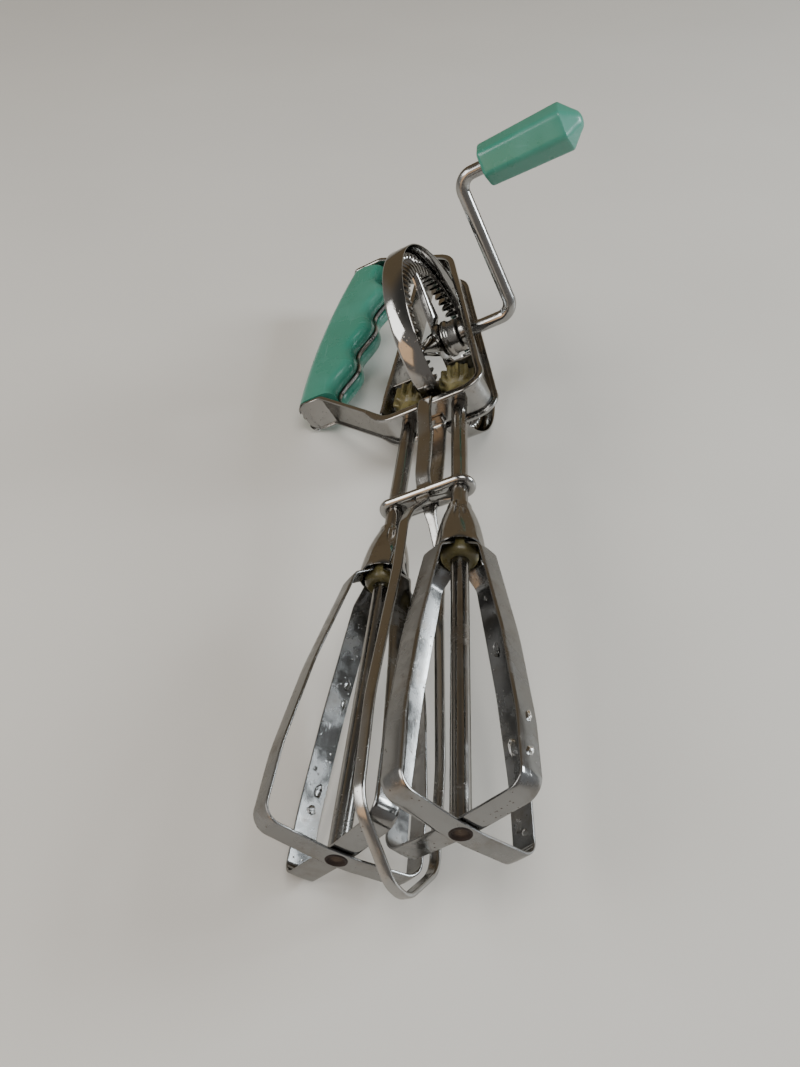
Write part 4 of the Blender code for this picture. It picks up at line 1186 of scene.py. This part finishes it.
def blade_path(centre, corner):
    """A whole blade: down one leg, across the bottom and up the other."""
    radius = BLADE_RADIUS
    span = BLADE_END - BLADE_FLARE
    half = [(BLADE_TOP_RADIUS, -68.4, 0.0), (BLADE_TOP_RADIUS, -BLADE_FLARE, 1.4),
            (BLADE_TOP_RADIUS + 4.45, -BLADE_FLARE - 4.7, 5.0),
            (0.805 * radius, -BLADE_FLARE - 0.45 * span, 60.0),
            (0.97 * radius, -BLADE_FLARE - 0.765 * span, 60.0),
            (radius, corner, 4.6), (4.6, centre, 12.0)]
    corners = [(-x, y, r) for x, y, r in half] + [(x, y, r) for x, y, r in reversed(half)]
    return refined(rounded_path(corners, 4.0), 3.0)


def make_blade(label, kind, turn, centre, corner):
    spin = Matrix.Rotation(math.radians(-turn), 4, "Y")
    path = blade_path(centre, corner)
    bm = carried(swept_rings(path, blade_section, "XY"))
    # The blade colour is the plating darkened as painted shade.
    look = plated_steel(f"{label}_blade_{kind}_plating", 0.13, 0.20, 0.38, 0.00012, SHADED_BLADE_COLOUR)
    return finish_piece(f"{label}_blade_{kind}_strip", bm, SHAFT_PLACES[label] @ spin,
                        label + "_beater", f"{label}_blade_{kind}", look)


def make_bell(label):
    """Spun bell, pinched onto the shaft at two opposite places near its top."""
    outer = [(3.45, BELL_TOP), (3.7, BELL_TOP + 0.15), (3.85, BELL_TOP + 0.6), (3.95, BELL_TOP + 1.6),
             (4.5, BELL_TOP + 3.2), (5.2, BELL_TOP + 5.4), (5.95, BELL_TOP + 8.2), (6.55, BELL_TOP + 11.0),
             (6.98, BELL_TOP + 13.6), (7.3, BELL_TOP + 16.2), (7.52, BELL_TOP + 18.4),
             (7.66, BELL_BOTTOM - 0.35), (7.6, BELL_BOTTOM - 0.08), (7.42, BELL_BOTTOM)]
    inner = [(7.2, BELL_BOTTOM - 0.1), (7.1, BELL_BOTTOM - 0.6), (6.9, BELL_TOP + 14.6),
             (6.0, BELL_TOP + 10.8), (4.4, BELL_TOP + 6.2), (SHAFT_RADIUS + 0.1, BELL_TOP + 4.6)]
    profile = [(SHAFT_RADIUS + 0.1, BELL_TOP)] + outer + inner
    bm = turned([(r, -d) for r, d in profile], 96, "Y", True)
    for vert in bm.verts:
        radius = math.hypot(vert.co.x, vert.co.z)
        down = -vert.co.y - BELL_TOP
        near_top = math.exp(-((down - 5.0) / 3.6) ** 2)
        angle = math.atan2(vert.co.z, vert.co.x)
        crease = sum(math.exp(-(math.remainder(angle - pinch, 2.0 * math.pi) / 0.20) ** 2)
                     for pinch in BELL_PINCHES)
        if radius > SHAFT_RADIUS + 0.6:
            shrink = 1.0 - 0.42 * near_top * crease / max(radius, 1.0)
            vert.co.x *= shrink
            vert.co.z *= shrink
    finish_piece(label + "_bell_spun", bm, SHAFT_PLACES[label], label + "_beater", label + "_bell",
                 plated_steel(label + "_bell_plating", 0.07, 0.12, 0.35))


def make_beater(label):
    """One beater: shaft, pinion, bell, bushing, two crossing blades and the rivet that holds them."""
    place = SHAFT_PLACES[label]
    body = label + "_beater"
    low = BLADE_END - BLADE_HALF_SHEET - 0.3
    shaft = [(0.0, SHAFT_TOP), (1.6, SHAFT_TOP), (JOURNAL_RADIUS, 21.3), (JOURNAL_RADIUS, JOURNAL_FOOT),
             (SHAFT_RADIUS - 0.1, 17.3), (SHAFT_RADIUS, SHAFT_SHOULDER)]
    stations = 40
    length = -low + 0.2 - SHAFT_SHOULDER
    shaft += [(SHAFT_RADIUS, SHAFT_SHOULDER + length * k / stations) for k in range(1, stations + 1)]
    shaft += [(SHAFT_RADIUS - 0.2, -low), (0.0, -low)]
    finish_piece(label + "_shaft_drawn", turned(shaft, 64, "Y", False), place, body, label + "_shaft",
                 plated_steel(label + "_shaft_plating", 0.10, 0.16, 0.42))
    make_pinion(label)
    make_bell(label)
    bore = SHAFT_RADIUS + TURNED_BORE_ROOM
    bush = [(bore, 68.2), (5.35, 68.2), (5.45, 68.5), (5.6, 71.0), (5.68, 73.2), (5.62, 74.4), (5.4, 75.2),
            (4.9, 75.9), (4.2, 76.3), (3.4, 76.4), (bore, 76.4)]
    finish_piece(label + "_bushing_moulded", turned([(r, -d) for r, d in bush], 64, "Y", True), place, body,
                 label + "_bushing", olive_nylon(label + "_bushing_nylon", 0.62))
    step = 2.0 * BLADE_HALF_SHEET + 0.35
    turn = BLADE_TURNS[label]
    make_blade(label, "inner", turn, -BLADE_END, 1.0 - BLADE_END)
    outer = make_blade(label, "outer", turn + 90.0, -BLADE_END - step, 0.3 - BLADE_END)
    face = BLADE_END + step + BLADE_HALF_SHEET
    cut(outer, [shaft_hole(label, RIVET_HOLE_RADIUS, -face - 2.0, 1.05 - face)])
    rivet = [(0.0, face - 0.95), (2.3, face - 0.95), (2.36, face - 0.1), (2.8, face - 0.05), (2.86,
                                                                                              face + 0.06),
             (2.78, face + 0.17), (2.58, face + 0.21), (2.4, face + 0.14), (2.24, face - 0.08),
             (2.05, face - 0.32), (1.75, face - 0.44), (1.3, face - 0.46), (0.8, face - 0.40),
             (0.4, face - 0.35), (0.0, face - 0.34)]
    finish_piece(label + "_rivet_head", turned([(r, -d) for r, d in rivet], 56, "Y", False), place, body,
                 label + "_rivet", shaded_rusty_rivet(label + "_rivet_rust", place @ Vector((0.0, -face, 0.0))))


def on_blade(path, side, height):
    """Spot, outward direction and downward direction on one leg of a blade at a given height."""
    leg = [spot for spot in path if spot.x * side > 0.0 and -BLADE_END + 4.0 < spot.y < -BLADE_FLARE]
    leg.sort(key=lambda spot: abs(spot.y - height))
    spot = leg[0]
    beyond = max(leg[1:4], key=lambda other: abs(other.y - spot.y))
    along = (beyond - spot).normalized()
    if along.y > 0.0:
        along = -along
    outward = Vector((-along.y * side, along.x * side))
    return spot, outward, along


def make_droplets(label, kind, turn, drops):
    """Water drops that cling to one blade.

    Each is (leg, height, place across, half length, half width, face), with leg and face 1 or -1.
    """
    path = blade_path(-BLADE_END, 1.0 - BLADE_END)
    parts = []
    for leg, height, offset, long_half, wide_half, face in drops:
        spot, outward, along = on_blade(path, leg, height)
        normal = outward * face
        bm = bmesh.new()
        bmesh.ops.create_icosphere(bm, subdivisions=4, radius=1.0)
        for vert in bm.verts:
            lumps = noise.noise(vert.co * 1.3 + Vector((height, offset, long_half))) * 0.35
            vert.co = vert.co * (1.0 + lumps)
            vert.co.z = max(vert.co.z, 0.0)
        bmesh.ops.remove_doubles(bm, verts=bm.verts[:], dist=1e-6)
        base = spot + normal * (BLADE_HALF_SHEET - 0.02)
        axes = Matrix(((along.x, along.y, 0.0), (0.0, 0.0, 1.0), (normal.x, normal.y, 0.0)))
        axes = axes.transposed().to_4x4()
        size = Matrix.Diagonal((long_half, wide_half, 0.62 * wide_half + 0.16, 1.0))
        bmesh.ops.transform(bm, matrix=Matrix.Translation((base.x, base.y, offset)) @ axes @ size,
                            verts=bm.verts[:])
        parts.append(bm)
    spin = Matrix.Rotation(math.radians(-turn), 4, "Y")
    finish_piece(f"{label}_blade_{kind}_droplets", joined(parts), SHAFT_PLACES[label] @ spin,
                 label + "_beater", None, water(f"{label}_{kind}_water"), math.radians(60.0))


# ---------------------------------------------------------------- table, light and camera

TABLE_REACH = 6.0
TABLE_DROP = 0.0002
LENS = 35.43
CAMERA_SPOT = (122.1, -286.7, 193.5)
CAMERA_RIGHT = (0.866, 0.078, -0.494)
CAMERA_AHEAD = (-0.398, 0.704, -0.588)


def make_table():
    """Plain pale top, a hair below the beater so that they don't fight for one plane."""
    bm = bmesh.new()
    bmesh.ops.create_grid(bm, x_segments=2, y_segments=2, size=TABLE_REACH)
    table = linked_object("table_top", bm)
    table.location = (0.0, 0.0, -TABLE_DROP)
    made, tree, shader = blank_material("table_laminate")
    place = tree.add("ShaderNodeTexCoord").outputs["Object"]
    mottle = tree.noise(place, 9.0, 3.0, 0.5)
    colour = tree.mix(mottle, (0.61, 0.59, 0.552, 1.0), (0.67, 0.65, 0.612, 1.0))
    tree.feed(colour, shader.inputs["Base Color"])
    shader.inputs["Roughness"].default_value = 0.42
    table.data.materials.append(made)


def add_area(name, place, target, size, power, colour):
    """A soft rectangular light that points at its target."""
    light = bpy.data.lights.new(name, "AREA")
    light.shape = "RECTANGLE"
    light.size, light.size_y = size
    light.energy = power
    light.color = colour
    obj = bpy.data.objects.new(name, light)
    bpy.context.scene.collection.objects.link(obj)
    obj.location = place
    obj.rotation_euler = (Vector(target) - Vector(place)).to_track_quat("-Z", "Y").to_euler()


def make_light():
    """A dim room, paler at its two sides and brown at the back, and four soft lights."""
    world = bpy.data.worlds.new("soft_room")
    bpy.context.scene.world = world
    world.use_nodes = True
    tree = Tree(world.node_tree)
    background = world.node_tree.nodes["Background"]
    way = tree.add("ShaderNodeTexCoord").outputs["Generated"]
    parts = tree.add("ShaderNodeSeparateXYZ", inputs={0: way}).outputs
    low_room = tree.mix(tree.ramp(parts["Y"], 0.0, 0.5), (0.27, 0.252, 0.235, 1.0), (0.25, 0.190, 0.118, 1.0))
    low_room = tree.mix(tree.ramp(parts["X"], 0.55, 0.95), low_room, (0.40, 0.41, 0.42, 1.0))
    low_room = tree.mix(tree.ramp(parts["X"], -0.6, -0.95), low_room, (0.38, 0.375, 0.36, 1.0))
    room = tree.mix(tree.ramp(parts["Z"], 0.6, 0.9), low_room, (0.085, 0.083, 0.078, 1.0))
    tree.feed(room, background.inputs["Color"])
    background.inputs["Strength"].default_value = 1.0
    add_area("right_window", (1.05, 0.22, 0.52), (0.0, -0.02, 0.03), (0.46, 0.40), 12.0, (0.88, 0.955, 1.0))
    add_area("left_window", (-0.93, -0.28, 0.76), (0.0, 0.0, 0.03), (0.90, 0.44), 7.6, (1.0, 0.99, 0.96))
    add_area("warm_lamp", (-0.72, -0.92, 0.42), (0.0, 0.03, 0.05), (0.60, 0.50), 1.3, (1.0, 0.62, 0.32))
    add_area("overhead_soft", (0.12, -0.32, 1.25), (0.0, 0.0, 0.0), (0.7, 0.7), 8.5, (1.0, 0.985, 0.96))


def make_camera():
    data = bpy.data.cameras.new("viewpoint")
    data.sensor_width = 36.0
    data.lens = LENS
    data.clip_start = 0.01
    data.clip_end = 20.0
    camera = bpy.data.objects.new("viewpoint", data)
    bpy.context.scene.collection.objects.link(camera)
    turn = UPRIGHT.to_3x3().normalized()
    right = turn @ Vector(CAMERA_RIGHT)
    ahead = turn @ Vector(CAMERA_AHEAD)
    back = -ahead.normalized()
    right = (right - back * right.dot(back)).normalized()
    up = back.cross(right)
    camera.matrix_world = (Matrix.Translation(UPRIGHT @ Vector(CAMERA_SPOT))
                           @ Matrix((right, up, back)).transposed().to_4x4())
    bpy.context.scene.camera = camera


make_camera()
make_table()
make_light()
make_frame_strip()
make_left_wall()
make_handle()
make_collar_plate()
make_guard_loop()
make_bearing()
make_drive_wheel()
make_crank()
make_knob()
make_beater("right")
make_beater("left")
make_droplets("right", "outer", BLADE_TURNS["right"] + 90.0, [
    (-1, -84.0, 0.6, 1.1, 0.6, -1), (-1, -88.0, -1.2, 0.6, 0.5, -1), (-1, -99.0, 0.4, 2.4, 1.1, -1),
    (-1, -118.0, 1.5, 0.6, 0.5, -1), (-1, -129.0, 0.2, 2.9, 1.3, -1), (-1, -134.0, -1.5, 0.8, 0.7, -1),
    (-1, -152.0, 0.9, 1.9, 0.9, -1), (-1, -156.0, -0.8, 0.8, 0.8, -1)])
make_droplets("right", "inner", BLADE_TURNS["right"], [
    (1, -96.0, 1.7, 0.5, 0.45, -1), (1, -141.0, -0.4, 1.5, 0.8, 1), (1, -152.0, 0.3, 1.2, 1.0, 1)])
make_droplets("left", "inner", BLADE_TURNS["left"], [
    (-1, -104.0, -1.3, 1.9, 1.0, -1), (-1, -109.0, -2.0, 1.7, 0.8, -1), (-1, -137.0, -1.0, 2.2, 1.0, -1),
    (-1, -141.5, -0.3, 1.2, 1.4, -1), (-1, -130.0, 1.6, 0.7, 0.6, -1), (-1, -149.0, 1.3, 0.8, 0.7, -1)])

bpy.context.view_layer.update()
